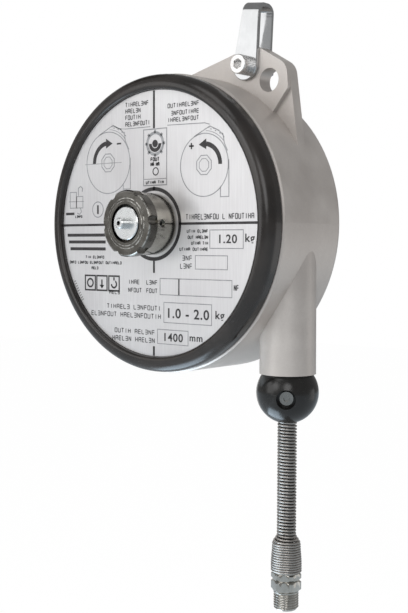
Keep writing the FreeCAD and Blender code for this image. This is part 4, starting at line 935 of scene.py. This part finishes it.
def light_world(level, mirrored):
    """A white surround for the camera, a grey one for reflections and a plain level else."""
    world = bpy.data.worlds.new("surround")
    bpy.context.scene.world = world
    tree = bare_tree(world)
    camera, glossy = ray_kinds(tree)
    strength = camera + glossy * mirrored + (1 - camera) * (1 - glossy) * level
    surround = new_node(tree, "Background", None, {"Color": rgba(*WHITE), "Strength": strength})
    surround.shown_as("World")


def flat_sheet(name, corners):
    """A four-cornered piece of the stage, and the emptied node tree of its material."""
    mesh = mesh_from(name, lambda shape: shape.faces.new([shape.verts.new(corner)
                                                          for corner in corners]))
    item = bpy.data.objects.new(name, mesh)
    bpy.context.scene.collection.objects.link(item)
    material = bpy.data.materials.new(name)
    mesh.materials.append(material)
    return item, bare_tree(material)


def add_card(name, place, target, width, height, colour, strength):
    """A glowing card that only reflections see."""
    x, y = width / 2, height / 2
    card, tree = flat_sheet(name, ((-x, -y, 0), (x, -y, 0), (x, y, 0), (-x, y, 0)))
    glow = new_node(tree, "Emission", None, {"Color": rgba(*colour), "Strength": strength})
    glow.shown_as("Material")
    aim(card, place, target)
    card.visible_camera = False
    card.visible_diffuse = False
    card.visible_shadow = False


def lay_floor(height):
    """Pale floor well below the part; it stays nearly white and keeps the shadow."""
    floor, tree = flat_sheet("floor", [(x * FLOOR_REACH, y * FLOOR_REACH, height)
                                       for x, y in ((-1, -1), (1, -1), (1, 1), (-1, 1))])
    camera, glossy = ray_kinds(tree)
    matt = new_node(tree, "BsdfDiffuse", None, {"Color": rgba(0.86, 0.86, 0.86)})
    tint = camera.choose(rgba(0.82, 0.92, 1.0), rgba(*WHITE))
    white = new_node(tree, "Emission", None, {
        "Color": tint, "Strength": camera * (GLOW_SEEN - GLOW) + GLOW})
    share = (camera + glossy).math("MINIMUM", 1.0) * GLOW_SHARE
    mixed = new_node(tree, "MixShader", None, {0: share, 1: matt, 2: white})
    mixed.shown_as("Material")


WHITE, SKY, COOL = (1, 1, 1), (0.72, 0.87, 1.0), (0.9, 0.96, 1.0)
MIDDLE = CASE + mm(10, 20, -30)
# Lamps: place in metres from the label's centre, size, power, colour, shown in reflections.
LAMPS = {
    "front_light": ((-0.16, -0.93, 0.34), 0.5, 1.5, WHITE, True),
    "left_light": ((-0.60, -0.72, 0.34), 0.4, 0.5, WHITE, True),
    "top_light": ((-0.10, -0.56, 0.82), 0.5, 0.9, WHITE, True),
    "side_light": ((0.60, -0.72, 0.34), 0.5, 1.5, WHITE, True),
    "low_light": ((-0.30, -0.80, -0.40), 0.4, 6.0, COOL, False),
}
# Cards: place, width, height, colour and strength.
CARDS = {
    "left_card": ((-0.42, -0.80, 0.10), 0.5, 0.42, WHITE, 1.7),
    "rear_card": ((-0.80, 0.90, -0.25), 1.0, 0.5, WHITE, 1.0),
    "rear_high_card": ((-0.80, 0.90, 0.42), 1.0, 0.52, WHITE, 1.0),
    "right_card": ((0.80, 0.90, -0.24), 0.5, 0.5, WHITE, 1.0),
    "low_card": ((-0.14, -0.02, -0.42), 0.28, 0.22, SKY, 5.0),
    "dark_card": ((-0.62, 0.10, 0.66), 0.5, 0.3, WHITE, 0.0),
}
FLOOR_DEPTH, FLOOR_REACH = 0.3, 4.0  # below the fitting's end, and to each side
GLOW_SEEN, GLOW = 1.04, 0.66  # the floor's own light, where the camera sees it and elsewhere
GLOW_SHARE = 0.9  # the rest of what is seen of the floor is lit, and takes the shadow

bpy.context.scene.view_settings.view_transform = "Standard"
aim_camera()
light_world(level=0.66, mirrored=0.28)
lay_floor(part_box("end_fitting")[0].z - FLOOR_DEPTH)
for name, (place, *how) in LAMPS.items():
    add_lamp(name, CASE + Vector(place), MIDDLE, *how)
for name, (place, *how) in CARDS.items():
    add_card(name, CASE + Vector(place), CASE, *how)
